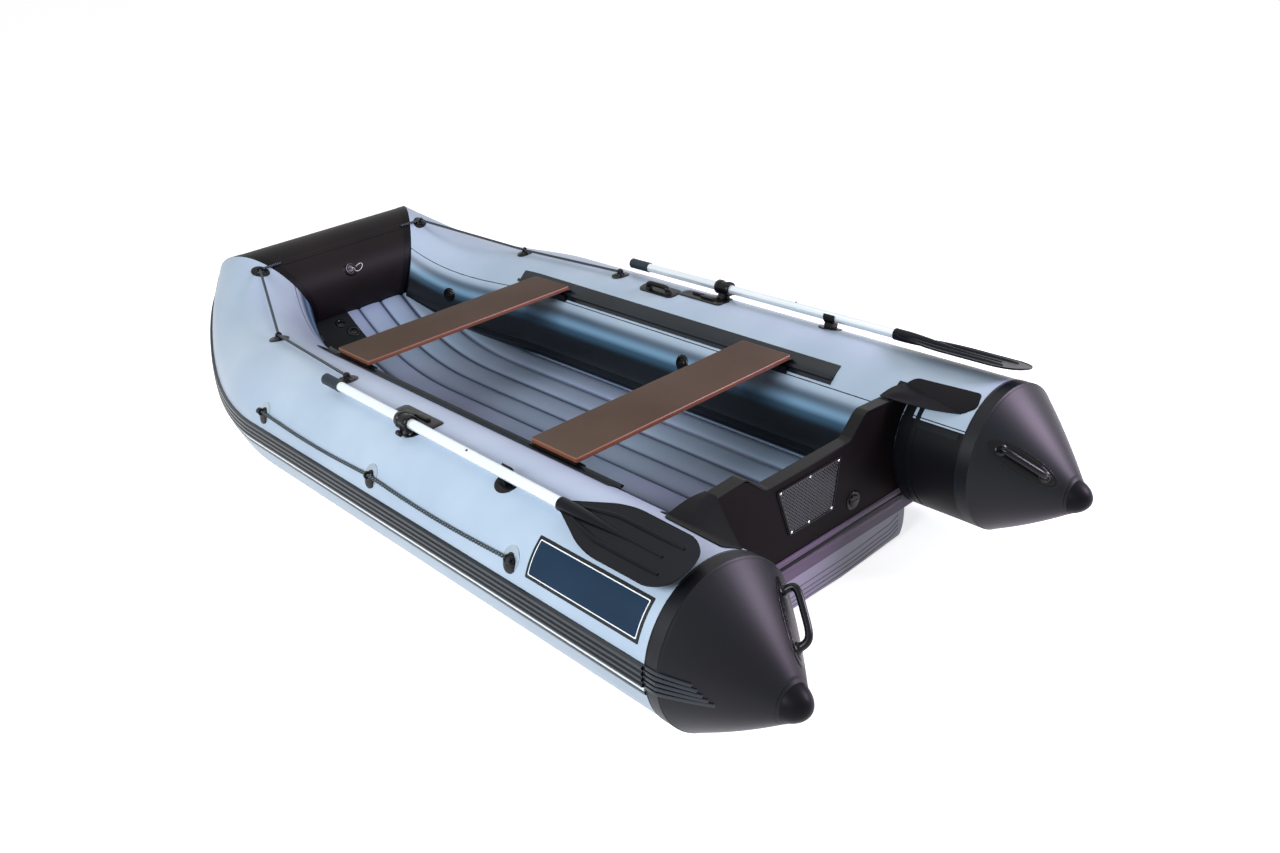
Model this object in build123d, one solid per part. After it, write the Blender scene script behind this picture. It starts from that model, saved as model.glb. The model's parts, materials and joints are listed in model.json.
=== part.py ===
"""Rigid-inflatable style dinghy: two side tubes and a bow tube round an inflated floor.

Stations run forward (+X) from the aft face of the transom, +Y is to port, and heights are
measured from the tube axis. Everything is built in those working axes and written in the part's
own frame, whose origin is the middle of the boat on the ground under the keel.
"""
from build123d import *
import os
from math import cos, degrees, hypot, radians, sin, sqrt

os.makedirs("parts", exist_ok=True)

# ------------------------------------------------------------------ driving sizes, millimetres
SEAT_GAP = 0.3              # clearance between pieces glued or laid on a curved surface

TUBE_R = 210.0              # side tube radius
TUBE_Y = 560.0              # tube axis to the centreline
TUBE_AFT = -200.0           # where the stern cone is welded on

BEND_START = 1700.0         # station where the side tubes begin to turn in
BEND_REACH = 200.0          # how far the first part of the bend keeps its heading
BOW_X = 2473.0              # station of the bow tube's axis
BOW_HALF = 308.0            # centreline to the mitred corner, along the bow tube's axis
CORNER_DEG = 42.0           # heading of the side tube, in plan, where it meets the bow tube
CORNER_REACH = 210.0        # how far before the corner it takes up that heading
BOW_R = 180.0               # bow tube radius
BOW_RISE = 166.0            # bow tube axis above the side tube axis
RISE_START = 1759.0         # station where the sheer starts to rise
RISE_POWER = 3.3
TAPER_POWER = 1.5

BAND_LENGTH = 40.0          # doubled band that joins the cone to the tube
BAND_STEP = 1.5
CONE_LENGTH = 197.0
CONE_BULGE = 6.0
CONE_TIP_R = 47.0
CONE_TIP_DROP = 54.0        # the tip sits below the tube axis
CONE_CAP = 45.0

TRANSOM_THICK = 32.0
TRANSOM_FOOT = -112.0       # underside of the transom
TRANSOM_SHOULDER = 192.0
TRANSOM_DIP = 132.0         # cut-out for the outboard
DIP_HALF = 165.0
SHOULDER_HALF = 232.0
DIP_ROUND = 30.0
TRANSOM_HALF = 421.0
TRANSOM_END = 181.0
TRIM = 5.0                  # edge trim thickness
TRIM_LAP = 3.0              # how far the trim laps each face
TRIM_STOP = 4.0             # how far short of the tubes it ends

PAD_TOP_HALF = 126.0        # motor pad
PAD_FOOT_HALF = 88.0
PAD_TOP = 109.0
PAD_FOOT = -36.0
PAD_THICK = 4.0
PAD_ROUND = 8.0

KEEL = -272.0               # lowest line of the hull
KEEL_FLAT_HALF = 120.0
CHINE = -258.0
HULL_HALF = 406.0
CHINE_ROUND = 30.0
FLOOR_EDGE = -128.0         # where the floor meets the tubes
FLOOR_THICK = 46.0
LOBES = 8
LOBE_CROWN = 12.0
HULL_BOW = 2400.0
HULL_RISE = 235.0           # how far the floor climbs to the bow tube
FLOOR_POWER = 2.6           # how late the climb sets in
KEEL_RISE_START = 1550.0
KEEL_POWER = 2.6
HULL_NOSE = 60.0            # thickness of the bottom where it meets the bow tube

THWART_DROP = 23.0          # its top lies this far below the top of the tubes
THWART_THICK = 15.0
THWART_WIDE = 200.0
THWART_LAP = 69.0           # how far it laps over each tube
THWART_TOP = TUBE_R - THWART_DROP
THWART_HALF = TUBE_Y - TUBE_R + THWART_LAP
THWART_CORNER = 8.0
THWART_EDGE = 3.0
THWART_AFT_X = 430.0
THWART_FWD_X = 1498.0

RAIL_AFT = 265.0
RAIL_PAST_BEND = 0.16       # share of the bend that the rail still follows
RAIL_TOP_DEG = 121.0        # angles round the tube: 0 outboard, 90 up, 180 inboard
RAIL_LOW_DEG = 139.0
RAIL_THICK = 3.0
BEAD_DEG = 134.0
BEAD_NECK = 3.0
BEAD_HEAD = 10.0
BEAD_RISE = 4.0
BEAD_TOP = 12.0
RUNNER_GAP = 1.2
RUNNER_WIDE = 34.0
RUNNER_PAST = 6.0           # how far a runner stands past the end of its thwart
RUNNER_DEEP = 40.0
RUNNER_WALL = 4.0

OAR_OFF = 70.0              # the stowed oar lies outboard of the tube axis
OAR_ABOVE = 25.0            # and over the top of the tube
OAR_R = 15.0
OAR_GRIP_END = 1377.0
OAR_GRIP = 95.0
OAR_GRIP_R = 18.0
COLLAR_HALF = 30.0
COLLAR_WALL = 9.0
PIN_R = 9.0
PIN_PLAY = 0.5
PIN_CLEAR = 2.0             # below the pin, and between the collar and its seat
BLADE_ROOT = 190.0
BLADE_TIP = -225.0
BLADE_HALF = 98.0
BLADE_NECK = 18.0
BLADE_SHOULDER = 120.0      # how far from the root the blade reaches its full width
BLADE_TAPER = 12.0
BLADE_ROUND = 60.0
BLADE_THICK = 5.0
BLADE_SOCKET = 20.0         # how far the socket stands past the root
BLADE_WALL = 3.0
SPINE_LONG = 330.0
SHAFT_LAP = 40.0            # how far the shaft runs into the blade
RIB_OFF = 52.0              # the two ribs beside the spine
RIB_R = 4.0
RIB_FROM = 60.0
RIB_STOP = 50.0

ROWLOCK_X = 912.0
ROWLOCK_FOOT = (88.0, 76.0)
ROWLOCK_R = 20.0
BASE_X = 954.0              # the long base plate that the rowlock's foot stands on
BASE_DEG = 87.0
BASE_LONG = 200.0
BASE_WIDE = 58.0
BASE_ROUND = 14.0
CLIP_X = 450.0
CLIP_FOOT = (80.0, 72.0)
CLIP_LONG = 40.0
CLIP_WIDE = 46.0
CLIP_PLAY = 1.0

STRAKE_TOP_DEG = 13.0
STRAKE_LOW_DEG = -3.0
STRAKE_THICK = 6.0
STRAKE_RIB = 4.0
STRAKE_RIBS = 4
RUN_OUT_LOW = -335.0        # stations where the lowest and highest rib end on the cone
RUN_OUT_TOP = -300.0
STRIPE_LOW_DEG = -9.0

SILL_THICK = 3.0            # holder under the transom that ties it to the bottom
SILL_LAP = 12.0

WING_AFT = -196.0           # fabric pads that tie the transom's corners to the tubes
WING_FWD = 24.0
WING_TOP_DEG = 107.0
WING_LOW_DEG = 131.0
WING_THICK = 3.0
WING_ROUND = 22.0
WEB_INNER = 335.0           # where the web of the wing starts along the transom's top
WEB_AFT = -176.0
WEB_FOOT_DEG = 125.0

DRAIN_Y = -174.0
DRAIN_Z = -49.0
DRAIN_R = 28.0
DRAIN_FLANGE = 3.0
DRAIN_PLUG_R = 18.0
DRAIN_RISE = 9.0
DRAIN_SLOT = (25.0, 4.5)
DRAIN_SLOT_DEEP = 3.5

VALVE_R = 28.0
VALVE_FLANGE = 2.0
VALVE_RIM_R = 20.0
VALVE_RIM = 3.5
VALVE_CAP_R = 12.5
VALVE_CAP = 5.0
VALVE_RISE = 7.0
SIDE_VALVE_X = 859.0
SIDE_VALVE_DEG = 161.0
BEND_VALVE_T = 0.59
BEND_VALVE_DEG = 168.0
BOW_VALVE_DEG = 160.0
FLOOR_VALVES = ((2252.0, 83.0, 26.0), (2298.0, 108.0, 20.0))    # station, offset, radius

CONE_HANDLE_X = (-292.0, -386.0)
CONE_HANDLE_DEG = 141.0
CARRY_X = (1094.0, 1180.0)
CARRY_DEG = 98.0
CARRY_PAD = (146.0, 60.0)
HANDLE_R = 8.0
HANDLE_BEND = 14.0
HANDLE_SINK = 4.0           # how far the feet are let into what they stand on
HANDLE_PAD = (140.0, 60.0)
HANDLE_RISE = 34.0
HANDLE_LEAN = -0.6          # how far the cone's handle leans aft for each unit outward
CARRY_RISE = 22.0

GUIDE_X = (294.0, 955.0, 1615.0)
GUIDE_DEG = 28.0
ROPE_R = 4.0
ROPE_BEND = 60.0
ROPE_RISE = 13.0            # rope centre above the tube where a guide holds it
ROPE_SAG_DEG = 2.5          # how far round the tube it hangs between two guides
UPPER_X = 1372.0
UPPER_BEND_T = 0.28
UPPER_BEND_DEG = 93.0
CORNER_T = 0.955
CORNER_UP_DEG = 102.0
LACE_END_Y = 262.0          # where the upper rope enters the bow panel
LACE_END_DEG = 127.0
GUIDE_LONG = 60.0
GUIDE_WIDE = 68.0
PAD = 3.0
GUIDE_RISE = 24.0
EYE_LONG = 36.0
EYE_WIDE = 30.0
BEND_EYE_R = 8.5

# ------------------------------------------------------------------ the frame of the part
KEEL_TO_AXIS = -KEEL
STERN_END = TUBE_AFT - BAND_LENGTH - CONE_LENGTH - CONE_CAP
STRAKE_OUT = STRAKE_THICK + STRAKE_RIB


def write(name, shape):
    """Save one node in the part's frame, whose origin is midships on the ground."""
    midship = (STERN_END + bow_end()) / 2
    export_step(Location((-midship, 0, KEEL_TO_AXIS)) * shape, f"parts/{name}.step")


def both_sides(name, port_shape):
    """Save a port piece and its mirror image."""
    write(f"port_{name}", port_shape)
    write(f"starboard_{name}", mirror(port_shape, about=Plane.XZ))


# ------------------------------------------------------------------ the tube line
def bend_plan(t):
    """Plan position on the port bend, t from 0 at the side tube to 1 at the bow corner."""
    back_x = CORNER_REACH * cos(radians(CORNER_DEG))
    back_y = CORNER_REACH * sin(radians(CORNER_DEG))
    corners = ((BEND_START, TUBE_Y), (BEND_START + BEND_REACH, TUBE_Y),
               (BOW_X - back_x, BOW_HALF + back_y), (BOW_X, BOW_HALF))
    weights = ((1 - t) ** 3, 3 * t * (1 - t) ** 2, 3 * t * t * (1 - t), t ** 3)
    return (sum(w * c[0] for w, c in zip(weights, corners)),
            sum(w * c[1] for w, c in zip(weights, corners)))


def sheer(x):
    """Height of the tube axis at a station."""
    run = max(0.0, (x - RISE_START) / (BOW_X - RISE_START))
    return BOW_RISE * run ** RISE_POWER


def tube_radius(x):
    """Tube radius at a station: full along the sides, tapering round the bend."""
    run = max(0.0, (x - BEND_START) / (BOW_X - BEND_START))
    return TUBE_R - (TUBE_R - BOW_R) * run ** TAPER_POWER


def section_plane(point, heading):
    """Plane across the tube: local x is outboard, local y is up."""
    outboard = Vector(-heading.Y, heading.X, 0).normalized()
    return Plane(origin=point, x_dir=outboard, z_dir=heading)


def bend_point(t):
    x, y = bend_plan(t)
    return Vector(x, y, sheer(x))


def bend_heading(t):
    step = 0.002
    ahead = bend_point(min(1.0, t + step))
    behind = bend_point(max(0.0, t - step))
    return (ahead - behind).normalized()


def bend_section(t):
    """Section plane and radius on the bend."""
    x, _ = bend_plan(t)
    return section_plane(bend_point(t), bend_heading(t)), tube_radius(x)


def straight_section(x):
    return section_plane(Vector(x, TUBE_Y, sheer(x)), Vector(1, 0, 0)), tube_radius(x)


CORNER = bend_point(1.0)
CORNER_HEADING = bend_heading(1.0)
BOW_HEADING = Vector(0, -1, 0)
MITRE = (CORNER_HEADING + BOW_HEADING).normalized()
OVERRUN = 170.0             # how far the lofts run past the corner before the mitre is cut


def bow_section(y):
    """Section of the bow tube, rolled so that what follows the tube meets at the mitre."""
    outboard = Vector(-CORNER_HEADING.Y, CORNER_HEADING.X, 0).normalized()
    turned = outboard - MITRE * (2 * outboard.dot(MITRE))
    return Plane(origin=(BOW_X, y, BOW_RISE), x_dir=turned, z_dir=BOW_HEADING)


def bow_end():
    """Station of the foremost rib of the strake."""
    ribs = [polar(BOW_R + SEAT_GAP + STRAKE_OUT, deg) for span in rib_spans() for deg in span]
    return max(bow_section(0).from_local_coords(Vector(*rib, 0)).X for rib in ribs)


def past_mitre():
    """Everything beyond the mitre plane of the port corner."""
    size = 3000.0
    plane = Plane(origin=CORNER, z_dir=MITRE)
    return plane * Box(size, size, size, align=(Align.CENTER, Align.CENTER, Align.MIN))


SECTION_PITCH = 70.0        # about how far apart the lofted sections stand
LEAD_IN = 140.0
FINE = 400


def even_steps(t_to):
    """Values of t up to t_to whose points lie evenly spaced along the bend."""
    walk = [0.0]
    for i in range(FINE):
        step = bend_point(t_to * (i + 1) / FINE) - bend_point(t_to * i / FINE)
        walk.append(walk[-1] + step.length)
    count = max(2, round(walk[-1] / SECTION_PITCH))
    found = []
    for k in range(count + 1):
        want = walk[-1] * k / count
        i = max(j for j in range(FINE + 1) if walk[j] <= want + 1e-9)
        part = 0.0 if i == FINE else (want - walk[i]) / (walk[i + 1] - walk[i])
        found.append(t_to * (i + part) / FINE)
    return found


def along_side(profile, x_from, t_to=None):
    """Run a profile(radius) along the port side tube, up to t_to or else to the mitre.

    What runs to the mitre is lofted from a little way back, so that its bend starts smoothly.
    """
    lead = 0.0 if t_to else LEAD_IN
    planes = [straight_section(BEND_START - LEAD_IN * k / 2) for k in (2, 1) if lead]
    planes += [bend_section(t) for t in even_steps(t_to or 1.0)]
    if t_to is None:
        end, r = planes[-1]
        planes += [(end.offset(OVERRUN), r)]
    bend = loft([plane * profile(r) for plane, r in planes])
    first, r = straight_section(x_from)
    side = extrude(first * profile(r), BEND_START - lead - x_from, dir=(1, 0, 0))
    whole = side + bend
    return whole if t_to else whole - past_mitre()


def along_bow(profile):
    """Run a profile(radius) along the bow tube, from mitre to mitre."""
    start = BOW_HALF + OVERRUN
    half = extrude(bow_section(start) * profile(BOW_R), start, dir=tuple(BOW_HEADING))
    half &= past_mitre()
    return half + mirror(half, about=Plane.XZ)


def all_round(profile, x_from):
    """Run a profile(radius) right round the boat, from stern to stern."""
    side = along_side(profile, x_from)
    return side + along_bow(profile) + mirror(side, about=Plane.XZ)


def polar(r, deg):
    return (r * cos(radians(deg)), r * sin(radians(deg)))


def ring_sector(r0, r1, deg0, deg1):
    """Face between two radii and two angles."""
    mid = (deg0 + deg1) / 2
    inner = ThreePointArc(polar(r0, deg0), polar(r0, mid), polar(r0, deg1))
    outer = ThreePointArc(polar(r1, deg1), polar(r1, mid), polar(r1, deg0))
    return make_face([inner, Line(inner @ 1, outer @ 0), outer, Line(outer @ 1, inner @ 0)])


def side_bar(face, x0, x1):
    """Extrude a face, drawn round the port tube axis, between two stations."""
    plane = Plane(origin=(x0, TUBE_Y, 0), x_dir=(0, 1, 0), z_dir=(1, 0, 0))
    return extrude(plane * face, x1 - x0, dir=(1, 0, 0))


def tube_cutters(extra):
    """The three tubes grown by extra, for seating what lies between them."""
    side = along_side(lambda r: Circle(r + extra), TUBE_AFT)
    return [side, mirror(side, about=Plane.XZ), along_bow(lambda r: Circle(r + extra))]


def seated(shape, cutters):
    """Cut the tubes out of a shape."""
    for tube in cutters:
        shape = shape - tube
    return shape


# ------------------------------------------------------------------ tubes and cones
def tubes():
    both_sides("tube", along_side(Circle, TUBE_AFT))
    write("bow_tube", along_bow(Circle))


def cone_ring(x, z, r):
    """Round section of the stern cone."""
    return Plane(origin=(x, TUBE_Y, z), x_dir=(0, 1, 0), z_dir=(-1, 0, 0)) * Circle(r)


def cone_taper(extra=0.0):
    """Tapering part of the stern cone, its tip drooping below the axis."""
    band_end = TUBE_AFT - BAND_LENGTH
    tip = band_end - CONE_LENGTH
    middle = (TUBE_R + CONE_TIP_R) / 2 + CONE_BULGE
    return loft([cone_ring(band_end, 0, TUBE_R + extra),
                 cone_ring((band_end + tip) / 2, -CONE_TIP_DROP / 2, middle + extra),
                 cone_ring(tip, -CONE_TIP_DROP, CONE_TIP_R + extra)])


def cone():
    """Stern cone with its doubled band, and the rounded cap on its tip."""
    band = extrude(cone_ring(TUBE_AFT, 0, TUBE_R + BAND_STEP), BAND_LENGTH)
    both_sides("cone", band + cone_taper())
    at_tip = Location((TUBE_AFT - BAND_LENGTH - CONE_LENGTH, TUBE_Y, -CONE_TIP_DROP))
    room = Box(CONE_CAP, 2 * TUBE_R, 2 * TUBE_R, align=(Align.MAX, Align.CENTER, Align.CENTER))
    both_sides("cone_cap", at_tip * (Sphere(CONE_TIP_R) & room))


# ------------------------------------------------------------------ rub strake
def rib_spans():
    """Lower and upper angle of each rib of the strake."""
    pitch = (STRAKE_TOP_DEG - STRAKE_LOW_DEG) / (2 * STRAKE_RIBS + 1)
    lows = [STRAKE_LOW_DEG + pitch * (2 * i + 1) for i in range(STRAKE_RIBS)]
    return [(low, low + pitch) for low in lows]


def strake_profile(r):
    """Ribbed rubber band round the outside of the tube."""
    base = r + SEAT_GAP
    points = []
    for low, top in rib_spans():
        flank = (top - low) / 3
        points += [polar(base + STRAKE_THICK, low - flank), polar(base + STRAKE_OUT, low),
                   polar(base + STRAKE_OUT, top), polar(base + STRAKE_THICK, top + flank)]
    outline = [polar(base, STRAKE_LOW_DEG)] + points + [polar(base, STRAKE_TOP_DEG)]
    middle = polar(base, (STRAKE_TOP_DEG + STRAKE_LOW_DEG) / 2)
    back = ThreePointArc(outline[-1], middle, outline[0])
    return make_face([Polyline(*outline), back])


def stripe_profile(r):
    return ring_sector(r + SEAT_GAP, r + STRAKE_THICK, STRIPE_LOW_DEG, STRAKE_LOW_DEG - 0.3)


def run_out(deg, end):
    """End of one rib, running out over the band and down the cone to a station."""
    across, up = polar(TUBE_R + BAND_STEP, deg)
    start = Vector(TUBE_AFT, TUBE_Y + across, up)
    weld = start - Vector(BAND_LENGTH, 0, 0)
    down = cone_line(end, deg) - weld
    bar = extrude(Plane(origin=start, z_dir=(-1, 0, 0)) * Circle(STRAKE_RIB), BAND_LENGTH)
    bar += extrude(Plane(origin=weld, z_dir=down) * Circle(STRAKE_RIB), down.length)
    return bar + Location(tuple(weld)) * Sphere(STRAKE_RIB)


def run_outs():
    """The run-outs of all ribs on the port side, seated on the band and the cone."""
    band = cone_ring(TUBE_AFT, 0, TUBE_R + BAND_STEP + SEAT_GAP)
    skin = cone_taper(SEAT_GAP) + extrude(band, BAND_LENGTH)
    pitch = (RUN_OUT_TOP - RUN_OUT_LOW) / (STRAKE_RIBS - 1)
    bars = [run_out((low + top) / 2, RUN_OUT_LOW + pitch * i) for i, (low, top) in enumerate(rib_spans())]
    return [solid for bar in bars for solid in (bar - skin).solids()]


def strakes():
    ends = run_outs()
    band = all_round(strake_profile, TUBE_AFT)
    mirrored = [mirror(end, about=Plane.XZ) for end in ends]
    write("rub_strake", Compound(band.solids() + ends + mirrored))
    write("strake_stripe", all_round(stripe_profile, TUBE_AFT))


# ------------------------------------------------------------------ hull and floor
def climb(x, start, rise, power):
    """How far the bottom has risen at a station on its way to the bow tube."""
    return rise * max(0.0, (x - start) / (HULL_BOW - start)) ** power


def bottom_stations(aft):
    """Stations of the inflated bottom: one level stretch, then short ones where it climbs."""
    steps = 9
    reach = HULL_BOW - KEEL_RISE_START
    return [aft] + [KEEL_RISE_START + reach * k / steps for k in range(steps + 1)]


def station_plane(x):
    """Plane across the boat, local x to port and local y up."""
    return Plane(origin=(x, 0, 0), x_dir=(0, 1, 0), z_dir=(1, 0, 0))


def lengthwise(face, x0, x1):
    """Extrude a face drawn across the boat between two stations."""
    return extrude(station_plane(x0) * face, x1 - x0, dir=(1, 0, 0))


def across_boat(side_face, half):
    """Extrude a face drawn in the side view, local x forward and y up, right across the boat."""
    plane = Plane(origin=(0, half, 0), x_dir=(1, 0, 0), z_dir=(0, -1, 0))
    return extrude(plane * side_face, 2 * half, dir=(0, -1, 0))


def hull_section(x):
    """Flat keel pad, then a slight vee that turns up round the chines."""
    top = FLOOR_EDGE - FLOOR_THICK + climb(x, BEND_START, HULL_RISE, FLOOR_POWER)
    nose = HULL_RISE + FLOOR_EDGE - FLOOR_THICK - HULL_NOSE - KEEL
    low = KEEL + climb(x, KEEL_RISE_START, nose, KEEL_POWER)
    chine = low + CHINE - KEEL

    def bilge(side):
        slope = Line((side * KEEL_FLAT_HALF, low), (side * (HULL_HALF - CHINE_ROUND), chine))
        turn = Spline(slope @ 1, (side * HULL_HALF, top), tangents=(slope % 1, (0, 1)))
        return [slope, turn]

    port, starboard = bilge(1), bilge(-1)
    pad = Line(port[0] @ 0, starboard[0] @ 0)
    lid = Line(port[1] @ 1, starboard[1] @ 1)
    return station_plane(x) * make_face([pad, lid] + port + starboard)


def hull(cutters):
    """Inflated bottom under the floor."""
    body = loft([hull_section(x) for x in bottom_stations(0)], ruled=True)
    write("hull", seated(body, cutters))


def floor_section(lift):
    """Lobed top and flat underside of the air floor, in the YZ plane, raised by lift."""
    half = TUBE_Y - sqrt(TUBE_R ** 2 - FLOOR_EDGE ** 2)
    pitch = 2 * half / LOBES
    valley = FLOOR_EDGE - LOBE_CROWN + lift
    arcs = [ThreePointArc((y, valley), (y + pitch / 2, valley + LOBE_CROWN), (y + pitch, valley))
            for y in (i * pitch - half for i in range(LOBES))]
    seam = FLOOR_EDGE - FLOOR_THICK + SEAT_GAP + lift
    rim = Polyline((half, valley), (half, seam), (-half, seam), (-half, valley))
    return make_face(arcs + [rim])


def floor(cutters):
    """Air floor with lengthwise lobes that sweep up to the bow tube."""
    sections = [station_plane(x) * floor_section(climb(x, BEND_START, HULL_RISE, FLOOR_POWER))
                for x in bottom_stations(TRANSOM_THICK + SEAT_GAP)]
    write("floor", seated(loft(sections, ruled=True), cutters))


# ------------------------------------------------------------------ transom
def transom_face(grow=0.0):
    """Outline of the transom board, looking along the boat, before the tubes are cut away."""
    points = [
        (-TRANSOM_HALF, TRANSOM_FOOT), (TRANSOM_HALF, TRANSOM_FOOT), (TRANSOM_HALF, TRANSOM_END),
        (SHOULDER_HALF, TRANSOM_SHOULDER), (DIP_HALF, TRANSOM_DIP), (-DIP_HALF, TRANSOM_DIP),
        (-SHOULDER_HALF, TRANSOM_SHOULDER), (-TRANSOM_HALF, TRANSOM_END)]
    board = Polygon(*points, align=None)
    soft = board.vertices().filter_by(lambda v: DIP_HALF - 1 < abs(v.X) < SHOULDER_HALF + 1)
    board = fillet(soft, DIP_ROUND)
    return offset(board, grow) if grow else board


def sill():
    """Channel bonded to the bottom that the foot of the transom stands in."""
    deep = FLOOR_EDGE - FLOOR_THICK + SEAT_GAP
    lap = TRANSOM_FOOT + SILL_LAP
    outside = Pos(-SILL_THICK, deep) * Rectangle(TRANSOM_THICK + SILL_THICK, lap - deep, align=Align.MIN)
    inside = Pos(0, TRANSOM_FOOT) * Rectangle(TRANSOM_THICK, SILL_LAP, align=Align.MIN)
    return across_boat(outside - inside, TUBE_Y)


def drain():
    """Flanged drain plug low on the aft face of the transom."""
    face = Plane(origin=(0, DRAIN_Y, DRAIN_Z), z_dir=(-1, 0, 0))
    flange = extrude(face * Circle(DRAIN_R), DRAIN_FLANGE)
    plug = extrude(face * Circle(DRAIN_PLUG_R), DRAIN_RISE)
    slot = extrude(face.offset(DRAIN_RISE - DRAIN_SLOT_DEEP) * Rectangle(*DRAIN_SLOT), DRAIN_RISE)
    return flange + plug - slot


def wing():
    """Pad along the tube with a web that slopes down to the top of the transom."""
    pad = side_bar(ring_sector(TUBE_R + SEAT_GAP, TUBE_R + WING_THICK, WING_TOP_DEG, WING_LOW_DEG),
                   WING_AFT, WING_FWD)
    edges = pad.edges().filter_by(lambda e: e.length < 2 * WING_THICK and e.geom_type == GeomType.LINE
                                  and abs(e.tangent_at(0).X) < 0.1)
    pad = fillet(edges, WING_ROUND)
    low_y, low_z = polar(TUBE_R + SEAT_GAP, WEB_FOOT_DEG)
    corner = TRANSOM_END + (TRANSOM_SHOULDER - TRANSOM_END) * (
        TRANSOM_HALF - WEB_INNER) / (TRANSOM_HALF - SHOULDER_HALF)
    start = -TRIM_LAP - SEAT_GAP
    web = make_face(Polyline((start, WEB_INNER, corner), (start, TUBE_Y + low_y, TRANSOM_END),
                             (WEB_AFT, TUBE_Y + low_y, low_z), close=True))
    board = lengthwise(transom_face(), -SEAT_GAP, TRANSOM_THICK + SEAT_GAP)
    return pad + extrude(web, WING_THICK, dir=(0, 0, -1)) - board


def transom(cutters):
    board = seated(lengthwise(transom_face(), 0, TRANSOM_THICK), cutters)
    write("transom", board)
    cap = lengthwise(transom_face(TRIM), -TRIM_LAP, TRANSOM_THICK + TRIM_LAP)
    cap -= lengthwise(transom_face(), -TRIM_LAP, TRANSOM_THICK + TRIM_LAP)
    keep = Location((TRANSOM_THICK / 2, 0, TRANSOM_DIP - TRIM - TRIM_LAP)) * Box(
        2 * TRANSOM_THICK, 2 * (TRANSOM_HALF - TRIM_STOP), TUBE_R,
        align=(Align.CENTER, Align.CENTER, Align.MIN))
    write("transom_trim", seated(cap & keep, cutters))
    write("transom_sill", seated(sill(), cutters))
    write("drain_plug", drain())
    plate = Polygon((-PAD_FOOT_HALF, PAD_FOOT), (PAD_FOOT_HALF, PAD_FOOT),
                    (PAD_TOP_HALF, PAD_TOP), (-PAD_TOP_HALF, PAD_TOP), align=None)
    write("motor_pad", lengthwise(fillet(plate.vertices(), PAD_ROUND), -PAD_THICK, 0))


# ------------------------------------------------------------------ thwarts and their tracks
def rail_profile(r):
    """Glued strip with a T-shaped bead standing on it."""
    neck = degrees_of(BEAD_NECK) / 2
    head = degrees_of(BEAD_HEAD) / 2
    face = r + RAIL_THICK
    corners = [polar(r + SEAT_GAP, RAIL_LOW_DEG), polar(face, RAIL_LOW_DEG),
               polar(face, BEAD_DEG + neck), polar(face + BEAD_RISE, BEAD_DEG + neck),
               polar(face + BEAD_RISE, BEAD_DEG + head), polar(face + BEAD_TOP, BEAD_DEG + head),
               polar(face + BEAD_TOP, BEAD_DEG - head), polar(face + BEAD_RISE, BEAD_DEG - head),
               polar(face + BEAD_RISE, BEAD_DEG - neck), polar(face, BEAD_DEG - neck)]
    outer = ThreePointArc(corners[-1], polar(face, (BEAD_DEG - neck + RAIL_TOP_DEG) / 2),
                          polar(face, RAIL_TOP_DEG))
    edge = Line(outer @ 1, polar(r + SEAT_GAP, RAIL_TOP_DEG))
    back = ThreePointArc(edge @ 1, polar(r + SEAT_GAP, (RAIL_TOP_DEG + RAIL_LOW_DEG) / 2), corners[0])
    return make_face([Polyline(*corners), outer, edge, back])


def rails():
    """Tracks for the thwarts: a straight length, then a short one that follows the bend."""
    plane, r = straight_section(RAIL_AFT)
    straight = extrude(plane * rail_profile(r), BEND_START - SEAT_GAP - RAIL_AFT, dir=(1, 0, 0))
    tail = loft([plane * rail_profile(r) for plane, r in map(bend_section, (0.0, 0.08, RAIL_PAST_BEND))])
    both_sides("rail", Compound([straight, tail]))


def runner(x0):
    """Slotted shoe under the end of a thwart that grips the bead."""
    under = THWART_TOP - THWART_THICK
    block = Location((x0, THWART_HALF + RUNNER_PAST, under)) * Box(
        THWART_WIDE, RUNNER_WIDE, RUNNER_DEEP, align=(Align.MIN, Align.MAX, Align.MAX))
    gap = degrees_of(RUNNER_GAP)
    low = TUBE_R + RAIL_THICK
    neck = ring_sector(low - RUNNER_DEEP, low + BEAD_RISE, BEAD_DEG - degrees_of(BEAD_NECK) / 2 - gap,
                       BEAD_DEG + degrees_of(BEAD_NECK) / 2 + gap)
    head = ring_sector(low + BEAD_RISE - RUNNER_GAP, low + BEAD_TOP + RUNNER_GAP,
                       BEAD_DEG - degrees_of(BEAD_HEAD) / 2 - gap,
                       BEAD_DEG + degrees_of(BEAD_HEAD) / 2 + gap)
    shell = side_bar(Circle(TUBE_R + RAIL_THICK + RUNNER_GAP), x0, x0 + THWART_WIDE)
    outer = side_bar(Circle(low + BEAD_TOP + RUNNER_GAP + RUNNER_WALL), x0, x0 + THWART_WIDE)
    shoe = block & outer
    shoe -= shell
    shoe -= side_bar(neck, x0, x0 + THWART_WIDE)
    shoe -= side_bar(head, x0, x0 + THWART_WIDE)
    return shoe


def degrees_of(width):
    """Angle that a width takes up on the side tube."""
    return degrees(width / TUBE_R)


def thwart(name, x0):
    plank = Location((x0, 0, THWART_TOP)) * Box(
        THWART_WIDE, 2 * THWART_HALF, THWART_THICK, align=(Align.MIN, Align.CENTER, Align.MAX))
    plank = fillet(plank.edges().filter_by(Axis.Z), THWART_CORNER)
    plank = fillet(plank.faces().filter_by(Axis.Z).edges(), THWART_EDGE)
    write(f"{name}_thwart", plank)
    port = runner(x0)
    write(f"{name}_thwart_runners", port + mirror(port, about=Plane.XZ))


# ------------------------------------------------------------------ oars
def oar_line(x0, x1, r):
    """Round bar along the stowed port oar."""
    return Location((x0, OAR_Y, OAR_Z), (0, 90, 0)) * Cylinder(
        r, x1 - x0, align=(Align.CENTER, Align.CENTER, Align.MIN))


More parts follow.
